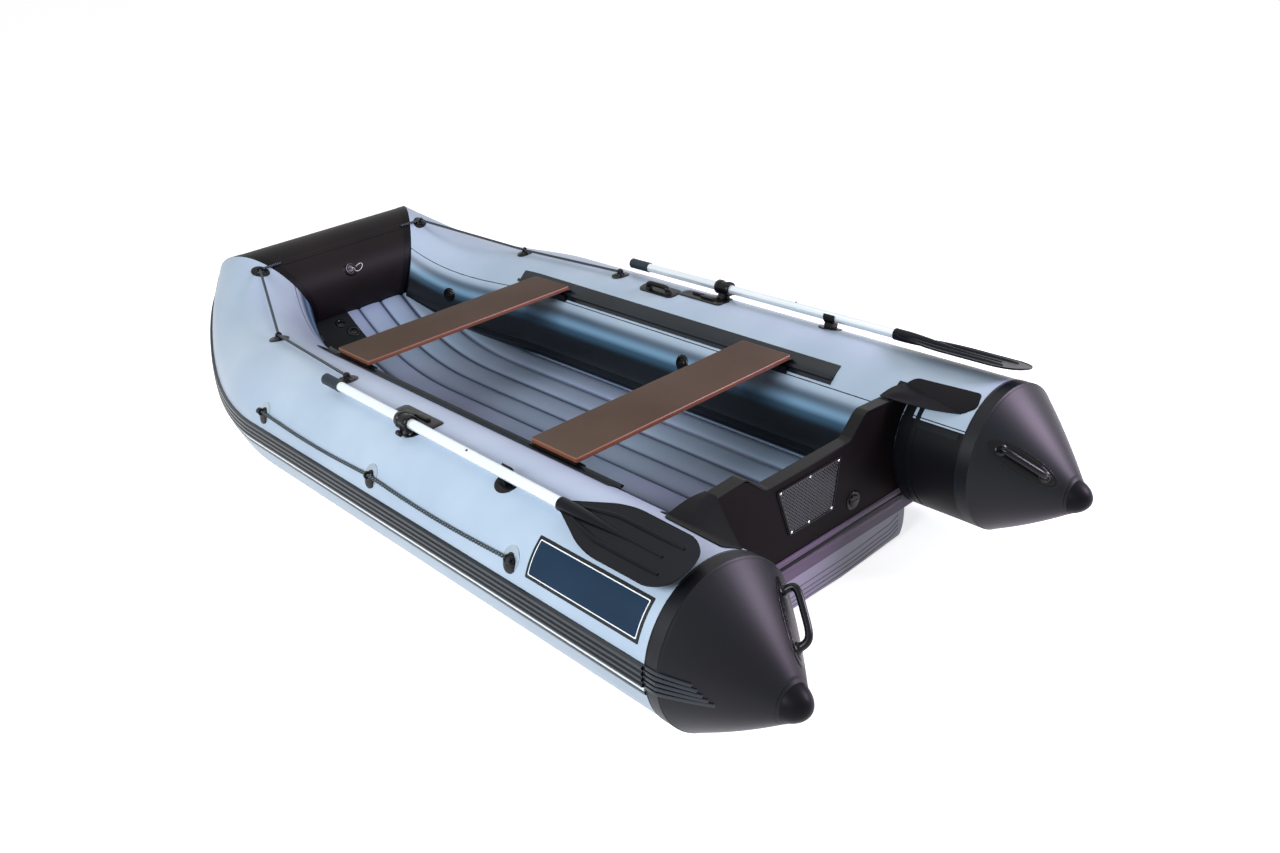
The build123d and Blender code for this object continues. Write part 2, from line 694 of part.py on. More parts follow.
OAR_Y = TUBE_Y + OAR_OFF
OAR_Z = TUBE_R + OAR_ABOVE
OAR_RADIAL = hypot(OAR_OFF, OAR_Z)
OAR_LEAN = Vector(0, OAR_OFF / OAR_RADIAL, OAR_Z / OAR_RADIAL)
OAR_DEG = OAR_LEAN.get_angle(Vector(0, 1, 0))      # where the stowed oar lies round the tube
OAR_PLANE = Plane(origin=(0, OAR_Y, OAR_Z), x_dir=(1, 0, 0), z_dir=OAR_LEAN)


def blade_face():
    """Outline of the blade: narrow at the root, rounded shoulders, slightly tapered to the tip."""
    wide_x = BLADE_ROOT - BLADE_SHOULDER
    tip_half = BLADE_HALF - BLADE_TAPER
    outline = Polygon((BLADE_ROOT, BLADE_NECK), (wide_x, BLADE_HALF), (BLADE_TIP, tip_half),
                      (BLADE_TIP, -tip_half), (wide_x, -BLADE_HALF), (BLADE_ROOT, -BLADE_NECK), align=None)
    soft = outline.vertices().filter_by(lambda v: v.X < BLADE_ROOT - 1)
    return fillet(soft, BLADE_ROUND)


def oar():
    shaft = oar_line(BLADE_ROOT - SHAFT_LAP, OAR_GRIP_END - OAR_GRIP, OAR_R)
    both_sides("oar_shaft", shaft)
    both_sides("oar_grip", oar_line(OAR_GRIP_END - OAR_GRIP, OAR_GRIP_END, OAR_GRIP_R))
    blade = extrude(OAR_PLANE * blade_face(), BLADE_THICK / 2, both=True)
    blade += oar_line(BLADE_ROOT - SPINE_LONG, BLADE_ROOT + BLADE_SOCKET, OAR_R + BLADE_WALL)
    for off in (-RIB_OFF, RIB_OFF):
        start = Plane(origin=OAR_PLANE.from_local_coords(Vector(BLADE_TIP + RIB_STOP, off, 0)), z_dir=(1, 0, 0))
        blade += extrude(start * Circle(RIB_R), RIB_FROM - BLADE_TIP - RIB_STOP)
    both_sides("oar_blade", blade - shaft)
    collar = oar_line(ROWLOCK_X - COLLAR_HALF, ROWLOCK_X + COLLAR_HALF, OAR_R + COLLAR_WALL)
    pin = Plane(origin=OAR_PLANE.from_local_coords(Vector(ROWLOCK_X, 0, 0)), z_dir=-OAR_LEAN)
    collar += extrude(pin * Circle(PIN_R), OAR_RADIAL - TUBE_R - PAD - PIN_CLEAR)
    both_sides("oar_collar", collar - shaft)


def surface_plane(x, deg, lift=0.0):
    """Plane on the port side tube, local x forward and local z straight out of the tube."""
    outward = Vector(0, cos(radians(deg)), sin(radians(deg)))
    return Plane(origin=Vector(x, TUBE_Y, 0) + outward * (TUBE_R + lift), x_dir=(1, 0, 0),
                 z_dir=outward)


def patch(x, deg, outline, deep=TUBE_R / 5):
    """Sheet of a given outline bent round the side tube."""
    column = extrude(surface_plane(x, deg, -deep) * outline, 2 * deep)
    skin = Circle(TUBE_R + PAD) - Circle(TUBE_R + SEAT_GAP)
    return column & side_bar(skin, x - TUBE_R, x + TUBE_R)


def oval(size):
    """Oval of a given length and width."""
    long, wide = size
    return Ellipse(long / 2, wide / 2)


def on_tube(shape, x, clear=SEAT_GAP):
    """Cut the side tube, grown by a clearance, out of what stands on it."""
    return shape - side_bar(Circle(TUBE_R + clear), x - TUBE_R, x + TUBE_R)


def rowlock():
    base = patch(ROWLOCK_X, OAR_DEG, oval(ROWLOCK_FOOT))
    base += patch(BASE_X, BASE_DEG, RectangleRounded(BASE_LONG, BASE_WIDE, BASE_ROUND))
    rise = OAR_RADIAL - TUBE_R - OAR_R - COLLAR_WALL - PIN_CLEAR
    socket = extrude(surface_plane(ROWLOCK_X, OAR_DEG) * Circle(ROWLOCK_R), rise)
    bore = extrude(surface_plane(ROWLOCK_X, OAR_DEG, PAD) * Circle(PIN_R + PIN_PLAY), rise)
    both_sides("rowlock", base + on_tube(socket, ROWLOCK_X) - bore)


def oar_clip():
    """Cradle that the stowed shaft lies in, open outboard so that the oar can swing out."""
    base = patch(CLIP_X, OAR_DEG, oval(CLIP_FOOT))
    foot = surface_plane(CLIP_X, OAR_DEG)
    block = extrude(foot * Rectangle(CLIP_LONG, CLIP_WIDE), OAR_RADIAL - TUBE_R)
    block -= oar_line(CLIP_X - CLIP_LONG, CLIP_X + CLIP_LONG, OAR_R + CLIP_PLAY)
    way_out = Pos(0, CLIP_WIDE / 2) * Rectangle(2 * CLIP_LONG, CLIP_WIDE)
    low = OAR_RADIAL - TUBE_R - OAR_R - CLIP_PLAY
    block -= extrude(foot.offset(low) * way_out, 2 * OAR_R)
    both_sides("oar_clip", base + on_tube(block, CLIP_X))


# ------------------------------------------------------------------ grab ropes
def guide(x, deg, bore):
    """Patch with a moulded eye that the grab rope runs through."""
    base = patch(x, deg, oval((GUIDE_LONG, GUIDE_WIDE)))
    eye = extrude(surface_plane(x, deg, SEAT_GAP) * oval((EYE_LONG, EYE_WIDE)), GUIDE_RISE)
    return base + (on_tube(eye, x) - bore)


def guides():
    bore = rope(side_route(), ROPE_R + SEAT_GAP)
    both_sides("side_guides", Compound([guide(x, GUIDE_DEG, bore) for x in GUIDE_X]))


def bend_surface(t, deg, lift=0.0):
    """Plane on the port bend, local x along the tube and local z straight out of it."""
    section, r = bend_section(t)
    across, up = polar(1, deg)
    outward = section.x_dir * across + section.y_dir * up
    return Plane(origin=section.origin + outward * (r + lift), x_dir=section.z_dir, z_dir=outward)


def bow_surface(y, deg, lift=0.0):
    """Plane on the bow tube; the angle runs from 0 ahead, over the top, to 180 astern."""
    outward = Vector(cos(radians(deg)), 0, sin(radians(deg)))
    return Plane(origin=Vector(BOW_X, y, BOW_RISE) + outward * (BOW_R + lift), x_dir=(0, 1, 0),
                 z_dir=outward)


def bend_guide(plane, cutters, hole):
    """Guide on the bend, where the tube is no plain cylinder."""
    def column(long, wide, low):
        return extrude(plane.offset(low) * oval((long, wide)), GUIDE_RISE - low)

    sheet = column(GUIDE_LONG, GUIDE_WIDE, -GUIDE_RISE) - column(GUIDE_LONG * 2, GUIDE_WIDE * 2, PAD)
    eye = column(EYE_LONG, EYE_WIDE, -PAD)
    return (sheet + eye) - cutters[0] - cutters[2] - hole


def upper_guides(cutters):
    """Guides along the top of the side tube and round the bend to the bow corner."""
    bore = rope(upper_route(), ROPE_R + SEAT_GAP)
    middle = bend_surface(UPPER_BEND_T, UPPER_BEND_DEG)
    corner = bend_surface(CORNER_T, CORNER_UP_DEG)
    along = Plane(origin=middle.origin + middle.z_dir * ROPE_RISE, z_dir=middle.x_dir)
    on_bend = [bend_guide(middle, cutters, along * Cylinder(BEND_EYE_R, 2 * EYE_LONG)),
               bend_guide(corner, cutters, bore)]
    both_sides("upper_guides", Compound([guide(UPPER_X, 90, bore)] + on_bend))


def side_route():
    """Points of the rope along the outside, which hangs a little between its guides."""
    points = []
    for aft, fwd in zip(GUIDE_X, GUIDE_X[1:]):
        points.append(surface_plane(aft, GUIDE_DEG, ROPE_RISE).origin)
        points += [surface_plane(aft + (fwd - aft) * share, GUIDE_DEG - ROPE_SAG_DEG, ROPE_RISE - ROPE_R).origin
                   for share in (0.3, 0.7)]
    return points + [surface_plane(GUIDE_X[-1], GUIDE_DEG, ROPE_RISE).origin]


def upper_route():
    """Points of the rope that runs on to the black bow panel."""
    return [surface_plane(UPPER_X, 90, ROPE_RISE).origin,
            bend_surface(UPPER_BEND_T, UPPER_BEND_DEG, ROPE_RISE).origin,
            bend_surface(CORNER_T, CORNER_UP_DEG, ROPE_RISE).origin,
            bow_surface(LACE_END_Y, LACE_END_DEG, ROPE_R + SEAT_GAP).origin]


def rope(points, r):
    """Round bar along a route: straight runs with a wide bend at each point."""
    line = FilletPolyline(*points, radius=ROPE_BEND)
    start = Plane(origin=line @ 0, z_dir=line % 0)
    return sweep(start * Circle(r), path=line)


def ropes():
    both_sides("side_rope", rope(side_route(), ROPE_R))
    both_sides("bow_rope", rope(upper_route(), ROPE_R))


# ------------------------------------------------------------------ valves
def valve(plane):
    """Air valve: a flange, a raised rim and the cap inside it."""
    flange = extrude(plane.offset(-PAD) * Circle(VALVE_R), PAD + VALVE_FLANGE)
    rim = extrude(plane * (Circle(VALVE_RIM_R) - Circle(VALVE_RIM_R - VALVE_RIM)), VALVE_RISE)
    cap = extrude(plane * Circle(VALVE_CAP_R), VALVE_CAP)
    return flange + rim + cap


def valves(cutters):
    side = valve(surface_plane(SIDE_VALVE_X, SIDE_VALVE_DEG)) - cutters[0]
    bend = valve(bend_surface(BEND_VALVE_T, BEND_VALVE_DEG)) - cutters[0]
    both_sides("tube_valves", Compound([side, bend]))
    write("bow_valve", valve(bow_surface(0, BOW_VALVE_DEG)) - cutters[2])


def floor_valves():
    solids = []
    for x, y, r in FLOOR_VALVES:
        low = FLOOR_EDGE + climb(x, BEND_START, HULL_RISE, FLOOR_POWER)
        ahead = FLOOR_EDGE + climb(x + 1, BEND_START, HULL_RISE, FLOOR_POWER)
        up = Vector(low - ahead, 0, 1).normalized()
        plane = Plane(origin=Vector(x, y, low) + up * 2, z_dir=up)
        solids.append(extrude(plane * (Circle(r) - Circle(r * 0.55)), 5))
    write("floor_valves", Compound(solids))


# ------------------------------------------------------------------ handles
def handle(feet, outward, rise):
    """Moulded grip that stands off its two feet."""
    aft, fwd = feet
    out = outward * rise
    path = FilletPolyline(aft, aft + out, fwd + out, fwd, radius=HANDLE_BEND)
    start = Plane(origin=path @ 0, z_dir=path % 0)
    return sweep(start * Circle(HANDLE_R), path=path)


def cone_line(x, deg, lift=0.0):
    """Point on the stern cone at a station and an angle round it."""
    run = (TUBE_AFT - BAND_LENGTH - x) / CONE_LENGTH
    r = TUBE_R + (CONE_TIP_R - TUBE_R) * run + 4 * CONE_BULGE * run * (1 - run) + lift
    across, up = polar(r, deg)
    return Vector(x, TUBE_Y + across, up - CONE_TIP_DROP * run)


def cone_handle():
    """Handle and oval pad on the upper inside of the stern cone."""
    aft, fwd = [cone_line(x, CONE_HANDLE_DEG, -HANDLE_SINK) for x in CONE_HANDLE_X[::-1]]
    across, up = polar(1, CONE_HANDLE_DEG)
    outward = Vector(HANDLE_LEAN, across, up).normalized()
    seat = Plane(origin=(aft + fwd) * 0.5, x_dir=fwd - aft, z_dir=outward)
    deep = HANDLE_PAD[1] / 2
    sheet = extrude(seat.offset(-deep) * oval(HANDLE_PAD), 2 * deep) & cone_taper(PAD)
    grip = handle((aft, fwd), outward, HANDLE_RISE + HANDLE_SINK)
    return sheet + grip - cone_taper(SEAT_GAP)


def handles():
    both_sides("cone_handle", cone_handle())
    feet = [surface_plane(x, CARRY_DEG, -HANDLE_SINK).origin for x in CARRY_X]
    across, up = polar(1, CARRY_DEG)
    middle = sum(CARRY_X) / 2
    grip = on_tube(handle(feet, Vector(0, across, up), CARRY_RISE + HANDLE_SINK), middle)
    write("carry_handle", mirror(patch(middle, CARRY_DEG, oval(CARRY_PAD)) + grip, about=Plane.XZ))


# ------------------------------------------------------------------ build
tubes()
cone()
TUBE_CUTTERS = tube_cutters(SEAT_GAP)
strakes()
hull(TUBE_CUTTERS)
floor(TUBE_CUTTERS)
transom(TUBE_CUTTERS)
rails()
thwart("aft", THWART_AFT_X)
thwart("forward", THWART_FWD_X)
oar()
rowlock()
oar_clip()
guides()
upper_guides(TUBE_CUTTERS)
ropes()
valves(TUBE_CUTTERS)
floor_valves()
handles()
both_sides("transom_wing", seated(wing(), TUBE_CUTTERS))
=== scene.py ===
"""Dresses an inflatable boat: welded PVC tubes, air floor, plywood transom and thwarts, oars and ropes.

Every size is in metres. Stations run forward from the aft face of the transom, +Y is to port and
heights are measured from the axis of the side tubes. Shapes are built in those working axes, and
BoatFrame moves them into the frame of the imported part. Angles round a tube run from 0 outboard,
over 90 on top, to 180 inboard.
"""
from __future__ import annotations

import json
import logging
from dataclasses import dataclass, field
from enum import Enum
from functools import cached_property
from math import atan2, copysign, cos, degrees, pi, radians, sin, sqrt
from typing import Callable, Iterable, Sequence

import bmesh
import bpy
from bmesh.types import BMEdge, BMesh, BMFace, BMVert
from bpy.types import Material, Node, NodeSocket, NodeTree, Object
from mathutils import Matrix, Vector

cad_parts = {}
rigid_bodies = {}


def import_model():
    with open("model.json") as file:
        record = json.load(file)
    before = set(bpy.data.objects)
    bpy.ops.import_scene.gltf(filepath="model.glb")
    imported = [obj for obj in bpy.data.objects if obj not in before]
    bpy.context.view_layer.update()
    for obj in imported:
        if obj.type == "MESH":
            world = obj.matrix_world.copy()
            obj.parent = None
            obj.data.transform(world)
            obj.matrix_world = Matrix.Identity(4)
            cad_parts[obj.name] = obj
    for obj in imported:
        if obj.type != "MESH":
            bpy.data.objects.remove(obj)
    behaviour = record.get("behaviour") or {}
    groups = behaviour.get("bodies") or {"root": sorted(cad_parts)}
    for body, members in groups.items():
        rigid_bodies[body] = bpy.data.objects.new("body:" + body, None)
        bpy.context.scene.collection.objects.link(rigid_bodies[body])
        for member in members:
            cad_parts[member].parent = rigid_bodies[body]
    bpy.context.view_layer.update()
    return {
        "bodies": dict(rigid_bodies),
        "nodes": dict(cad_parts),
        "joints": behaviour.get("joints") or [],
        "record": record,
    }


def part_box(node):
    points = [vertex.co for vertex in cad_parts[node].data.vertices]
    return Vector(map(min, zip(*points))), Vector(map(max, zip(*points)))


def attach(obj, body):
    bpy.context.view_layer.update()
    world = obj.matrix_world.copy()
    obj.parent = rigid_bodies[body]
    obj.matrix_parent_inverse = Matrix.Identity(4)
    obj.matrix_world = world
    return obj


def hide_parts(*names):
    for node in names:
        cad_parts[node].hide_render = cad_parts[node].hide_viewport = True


log = logging.getLogger("boat")
MM = 0.001
# Points closer than this are one point.
MERGE = 1e-6
ORIGIN, AHEAD, TO_PORT, UPWARD = (Vector(v).freeze() for v in ((0, 0, 0), (1, 0, 0), (0, 1, 0), (0, 0, 1)))


# ---------------- finishes
def linear(hex_code: str) -> tuple[float, float, float, float]:
    """Turn an sRGB hex colour into the linear colour that a shader takes.

    Args:
        hex_code: six hex digits.

    Returns:
        Red, green, blue and alpha.
    """
    parts = [int(hex_code[i:i + 2], 16) / 255 for i in (0, 2, 4)]
    turned = [p / 12.92 if p <= 0.04045 else ((p + 0.055) / 1.055) ** 2.4 for p in parts]
    return (*turned, 1.0)


def add_node(tree: NodeTree, kind: str, settings: dict | None = None,
             inputs: dict | None = None) -> Node:
    """Add a shader node.

    Args:
        tree: the node tree that it goes into.
        kind: the node's type name.
        settings: attributes of the node.
        inputs: for each input socket a constant, or the output socket that feeds it.

    Returns:
        The new node.
    """
    node = tree.nodes.new(kind)
    for key, value in (settings or {}).items():
        setattr(node, key, value)
    for key, value in (inputs or {}).items():
        if isinstance(value, NodeSocket):
            tree.links.new(value, node.inputs[key])
        else:
            node.inputs[key].default_value = value
    return node


def blend_colours(tree: NodeTree, factor: NodeSocket, low: object,
                  high: object) -> NodeSocket:
    """Mix two colours by a factor and return the colour socket."""
    mix = add_node(tree, "ShaderNodeMix", {"data_type": "RGBA"}, {0: factor, 6: low, 7: high})
    return mix.outputs[2]


def band(tree: NodeTree, value: NodeSocket, low: float,
         high: float) -> NodeSocket:
    """Return how far a value has come from low to high, held between 0 and 1."""
    node = add_node(tree, "ShaderNodeMapRange", {}, {0: value, 1: low, 2: high})
    return node.outputs[0]


@dataclass(frozen=True)
class Finish:
    """A surface: one base colour that drifts a little, a grain, and the gloss of its skin."""

    name: str
    colour: str
    drift: str = ""
    roughness: float = 0.5
    specular: float = 0.5
    metallic: float = 0.0
    coat: float = 0.0
    coat_roughness: float = 0.2
    # The skins are really grained at 0.1 to 0.4 mm. All are drawn coarser, so that the grain shows.
    grain_mm: float = 1.2
    grain_depth: float = 0.05
    drift_mm: float = 260.0

    def material(self) -> Material:
        """Return the material of this finish, made the first time that it is asked for.

        Returns:
            The material.
        """
        made = bpy.data.materials.get(self.name)
        if made:
            return made
        made = bpy.data.materials.new(self.name)
        made.use_nodes = True
        tree = made.node_tree
        shader = tree.nodes["Principled BSDF"]
        place = add_node(tree, "ShaderNodeTexCoord").outputs["Object"]
        skin = {"Roughness": self.roughness, "Specular IOR Level": self.specular,
                "Metallic": self.metallic, "Coat Weight": self.coat,
                "Coat Roughness": self.coat_roughness}
        for socket, value in skin.items():
            shader.inputs[socket].default_value = value
        tree.links.new(self.paint(tree, place), shader.inputs["Base Color"])
        tree.links.new(self.relief(tree, place), shader.inputs["Normal"])
        return made

    def paint(self, tree: NodeTree, place: NodeSocket) -> NodeSocket:
        """Return the colour: a slow drift between the two tones and a fine speckle.

        Args:
            tree: the node tree of the material.
            place: the socket that gives Object coordinates.

        Returns:
            The colour socket.
        """
        slow = add_node(tree, "ShaderNodeTexNoise", {},
                        {"Vector": place, "Scale": 1 / (self.drift_mm * MM), "Detail": 3.0})
        part = band(tree, slow.outputs["Fac"], 0.35, 0.65)
        return blend_colours(tree, part, linear(self.colour), linear(self.drift or self.colour))

    def relief(self, tree: NodeTree, place: NodeSocket) -> NodeSocket:
        """Return the normal: a fine grain as deep as a share of its own size.

        Args:
            tree: the node tree of the material.
            place: the socket that gives Object coordinates.

        Returns:
            The normal socket.
        """
        fine = add_node(tree, "ShaderNodeTexNoise", {},
                        {"Vector": place, "Scale": 1 / (self.grain_mm * MM), "Detail": 2.0})
        bump = add_node(tree, "ShaderNodeBump", {},
                        {"Strength": 1.0, "Distance": self.grain_depth * self.grain_mm * MM,
                         "Height": fine.outputs["Fac"]})
        return bump.outputs["Normal"]


@dataclass(frozen=True)
class CoatedFabric(Finish):
    """PVC-coated polyester, calendered: a satin skin that shows the weave of its base faintly."""

    # The cloth has about ten threads a centimetre. They are drawn 2.2 mm apart, so that they show.
    weave_mm: float = 2.2
    weave_depth: float = 0.02
    # Tones of the painted shade ramp, with a painted highlight band in the tube's, laid on by the piece's
    # painted shading value.
    dusk: str = ""

    def paint(self, tree: NodeTree, place: NodeSocket) -> NodeSocket:
        """Return the colour, turned by the painted shade ramp where the piece's painted shading value says.

        Args:
            tree: the node tree of the material.
            place: the socket that gives Object coordinates.

        Returns:
            The colour socket.
        """
        outer = super().paint(tree, place)
        if not self.dusk:
            return outer
        value = add_node(tree, "ShaderNodeAttribute", {"attribute_name": "dusk"}).outputs["Fac"]
        ramp = add_node(tree, "ShaderNodeValToRGB", {}, {0: value})
        ramp.color_ramp.interpolation = "EASE"
        tones = self.dusk.split()
        stops = ramp.color_ramp.elements
        for k in range(1, len(tones)):
            stops.new(k / len(tones))
        for stop, tone in zip(stops, [self.colour] + tones):
            stop.color = linear(tone)
        return blend_colours(tree, band(tree, value, 0.0, 0.12), outer, ramp.outputs["Color"])

    def relief(self, tree: NodeTree, place: NodeSocket) -> NodeSocket:
        """Return the normal: crossed threads under the coat, over the grain of the coat.

        Args:
            tree: the node tree of the material.
            place: the socket that gives Object coordinates.

        Returns:
            The normal socket.
        """
        waves = [add_node(tree, "ShaderNodeTexWave", {"bands_direction": way, "wave_profile": "SIN"},
                          {"Vector": place, "Scale": 2 * pi / (20 * self.weave_mm * MM)}).outputs["Fac"]
                 for way in ("X", "Z")]
        threads = add_node(tree, "ShaderNodeMath", {"operation": "MULTIPLY"},
                           {0: waves[0], 1: waves[1]})
        bump = add_node(tree, "ShaderNodeBump", {},
                        {"Strength": 1.0, "Distance": self.weave_depth * self.weave_mm * MM,
                         "Height": threads.outputs[0], "Normal": super().relief(tree, place)})
        return bump.outputs["Normal"]


@dataclass(frozen=True)
class PlyEdge(Finish):
    """Sanded and sealed birch plywood edge: thin plies show as lines, darkened by the stain."""

    # Birch plies are about 1.4 mm thick. They are drawn at 3 mm, so that they show.
    ply_mm: float = 3.0
    line: str = "4a2013"

    def paint(self, tree: NodeTree, place: NodeSocket) -> NodeSocket:
        """Return the colour: plies stacked in height over the stain's drift.

        Args:
            tree: the node tree of the material.
            place: the socket that gives Object coordinates.

        Returns:
            The colour socket.
        """
        stain = super().paint(tree, place)
        height = add_node(tree, "ShaderNodeSeparateXYZ", {}, {0: place}).outputs["Z"]
        stack = add_node(tree, "ShaderNodeMath", {"operation": "PINGPONG"},
                         {0: height, 1: self.ply_mm * MM / 2})
        lines = band(tree, stack.outputs[0], 0.0, 0.25 * self.ply_mm * MM)
        return blend_colours(tree, lines, linear(self.line), stain)


@dataclass(frozen=True)
class Braid(Finish):
    """Braided cord: dark strands with a lighter fleck where the piece's fleck value says."""

    fleck: str = "8fa0a8"

    def paint(self, tree: NodeTree, place: NodeSocket) -> NodeSocket:
        """Return the colour of the strands and their flecks."""
        value = add_node(tree, "ShaderNodeAttribute", {"attribute_name": "fleck"}).outputs["Fac"]
        return blend_colours(tree, value, super().paint(tree, place), linear(self.fleck))


class Look:
    """Every finish on the boat, named for what the surface is."""

    # Calendered PVC on polyester cloth: pale satin grey with a wide soft gleam. The inner panel carries
    # painted shade that darkens to near black towards the floor, with a painted blue highlight band below the
    # seam.
    TUBE = CoatedFabric("tube_pvc", "a0b1c2", "aabac9", roughness=0.40, coat=0.2, coat_roughness=0.28,
                        dusk="46596a 6f93ad 2f4b5e 090f14 040608", specular=0.35)
    # The same cloth in black: it hardly gleams and shows its folds by their edges.
    BLACK = CoatedFabric("black_pvc", "0d0e11", "121115", roughness=0.42, specular=0.08)
    # Black PVC, a little warm, and as dull as the other black cloth.
    BOW = CoatedFabric("bow_pvc", "171516", "1d191a", roughness=0.45, specular=0.08)
    # Black PVC drawn tight on a taper: a low satin gleam between blue and purple.
    CONE = CoatedFabric("cone_pvc", "080f14", "0e0c12", roughness=0.44, specular=0.20)
    # Air floor cloth: blue-grey satin, with painted shade in the welded valleys between the lobes.
    FLOOR = CoatedFabric("floor_pvc", "8599ae", "909cb3", roughness=0.45, specular=0.35,
                         dusk="55607a 282e3b")
    # Black floor cloth: flat, with almost no gleam.
    PANEL = CoatedFabric("floor_panel_pvc", "151a1b", "1b2021", roughness=0.5, specular=0.08)
    # Heavier hull cloth: pale lilac grey under a clear gleam.
    HULL = CoatedFabric("hull_pvc", "abaabd", "b3b2c4", roughness=0.4, coat=0.3)
    # Rolled-on seam tape: a thin black line, a little glossier than the cloth.
    DARK_TAPE = CoatedFabric("dark_seam_tape", "0a0e12", "0f1318", roughness=0.38, specular=0.12)
    # Unprinted tape on the foot: a dull lilac line between the dark ones.
    LILAC_TAPE = CoatedFabric("lilac_seam_tape", "6f6177", "7b6d81", roughness=0.45, specular=0.3)
    # Extruded rubber: blue-black, with a narrow light along each rib.
    STRAKE = Finish("ribbed_strake_rubber", "0a141b", "101c24", roughness=0.24, specular=0.35)
    # White extruded rubber: clean and bright, with a soft gleam.
    STRIPE = Finish("white_stripe_rubber", "dfe6ec", "e8edf1", roughness=0.4, coat=0.3)
    # Extruded edge trim: black with a thin light along its round.
    TRIM = Finish("edge_trim_rubber", "0a0a0c", "100f11", roughness=0.32, specular=0.15)
    # Plywood under a matt phenolic film: warm black that shows no wood.
    BOARD = Finish("transom_film_ply", "110e0f", "191315", roughness=0.42, specular=0.04, grain_mm=0.8)
    # Plywood under a brown phenolic film: flat brown with a faint tooth.
    SEAT = Finish("thwart_film_ply", "4a3c32", "54463b", roughness=0.5, specular=0.04, grain_mm=0.8,
                  grain_depth=0.12, drift_mm=400)
    # Sanded and sealed birch plies: red-brown with thin dark lines.
    EDGE = PlyEdge("thwart_ply_edge", "7c4e38", "8c5a42", roughness=0.4, coat=0.15)
    # Extruded bead rail: blue-black, with a line of light along the bead.
    RAIL = Finish("bead_rail_rubber", "0e151b", "161f27", roughness=0.25, specular=0.3)
    # Drawn and anodised aluminium: cool, bright and softly blurred.
    SHAFT = Finish("anodised_aluminium", "dfe8ec", "e8eff2", roughness=0.28, metallic=0.5,
                   grain_mm=0.6, grain_depth=0.03)
    # Moulded grip rubber: dull dark grey with a coarse skin.
    GRIP = Finish("ribbed_grip_rubber", "1b262c", "243037", roughness=0.4, specular=0.2, grain_depth=0.12)
    # Moulded nylon: black, with a tight low gleam along the ribs.
    BLADE = Finish("blade_nylon", "090c11", "0f131a", roughness=0.32, specular=0.10)
    # Injection-moulded plastic: near black, with small sharp lights.
    PLASTIC = Finish("moulded_plastic", "07080a", "0c0e10", roughness=0.25, specular=0.2)
    # Clear vinyl patches: glossy and pale, tinted by the cloth under them.
    CLEAR = Finish("clear_vinyl", "a3b1ba", "8b99a3", roughness=0.2, coat=0.6)
    # Printed PVC: a flat navy field.
    PLATE = CoatedFabric("plate_pvc", "172a3d", "1e3347", roughness=0.45, specular=0.08)
    # Printed border of the plate: flat black.
    INK = Finish("plate_border", "070c11", roughness=0.45, specular=0.25)
    # Printed line of the plate: flat near-white.
    CHALK = Finish("plate_line", "e6ebee", roughness=0.45)
    # Braided polyester: dull black strands with pale flecks where they cross.
    ROPE = Braid("braided_rope", "0a0d10", "111519", roughness=0.6, specular=0.25)
    # Plain twisted cord: dull off-white.
    CORD = Finish("white_cord", "d8dadb", roughness=0.7)
    # Stainless steel: bright screw heads with small blurred lights.
    STEEL = Finish("stainless_steel", "d2d5d8", roughness=0.22, metallic=1.0, grain_mm=0.5)
    # Punched plate: mid grey with a dull metal gleam round the holes.
    MESH = Finish("perforated_plate", "34373a", "3f4246", roughness=0.3, metallic=0.4, specular=0.3)


# ---------------- the tube line
@dataclass(frozen=True)
class Section:
    """A round section of a tube: where it is, which way it faces and how wide it is."""

    origin: Vector
    outboard: Vector
    up: Vector
    radius: float

    @property
    def along(self) -> Vector:
        """Direction along the tube."""
        return self.outboard.cross(self.up)

    def point(self, deg: float, lift: float = 0.0) -> Vector:
        """Return the point at an angle round the section, lifted off its skin."""
        a = radians(deg)
        return self.origin + (self.outboard * cos(a) + self.up * sin(a)) * (self.radius + lift)

    def frame(self, grow: float = 0.0) -> Matrix:
        """Return the matrix that takes a unit circle in its plane onto the section."""
        r = self.radius + grow
        return matrix_of(self.origin, self.outboard * r, self.up * r, self.along)

    def seat(self, deg: float, lift: float = 0.0) -> Matrix:
        """Return a rigid frame on the skin: x along the tube, z straight out.

        Args:
            deg: the angle round the tube.
            lift: height over the skin.

        Returns:
            The frame, as a 4 by 4 matrix.
        """
        a = radians(deg)
        out = self.outboard * cos(a) + self.up * sin(a)
        return matrix_of(self.point(deg, lift), self.along, out.cross(self.along), out)


def matrix_of(origin: Vector, x: Vector, y: Vector, z: Vector) -> Matrix:
    """Build a 4 by 4 matrix from its origin and its three axes.

    Args:
        origin: where the frame stands.
        x: its first axis.
        y: its second axis.
        z: its third axis.

    Returns:
        The matrix.
    """
    matrix = Matrix((x, y, z)).transposed().to_4x4()
    matrix.translation = origin
    return matrix


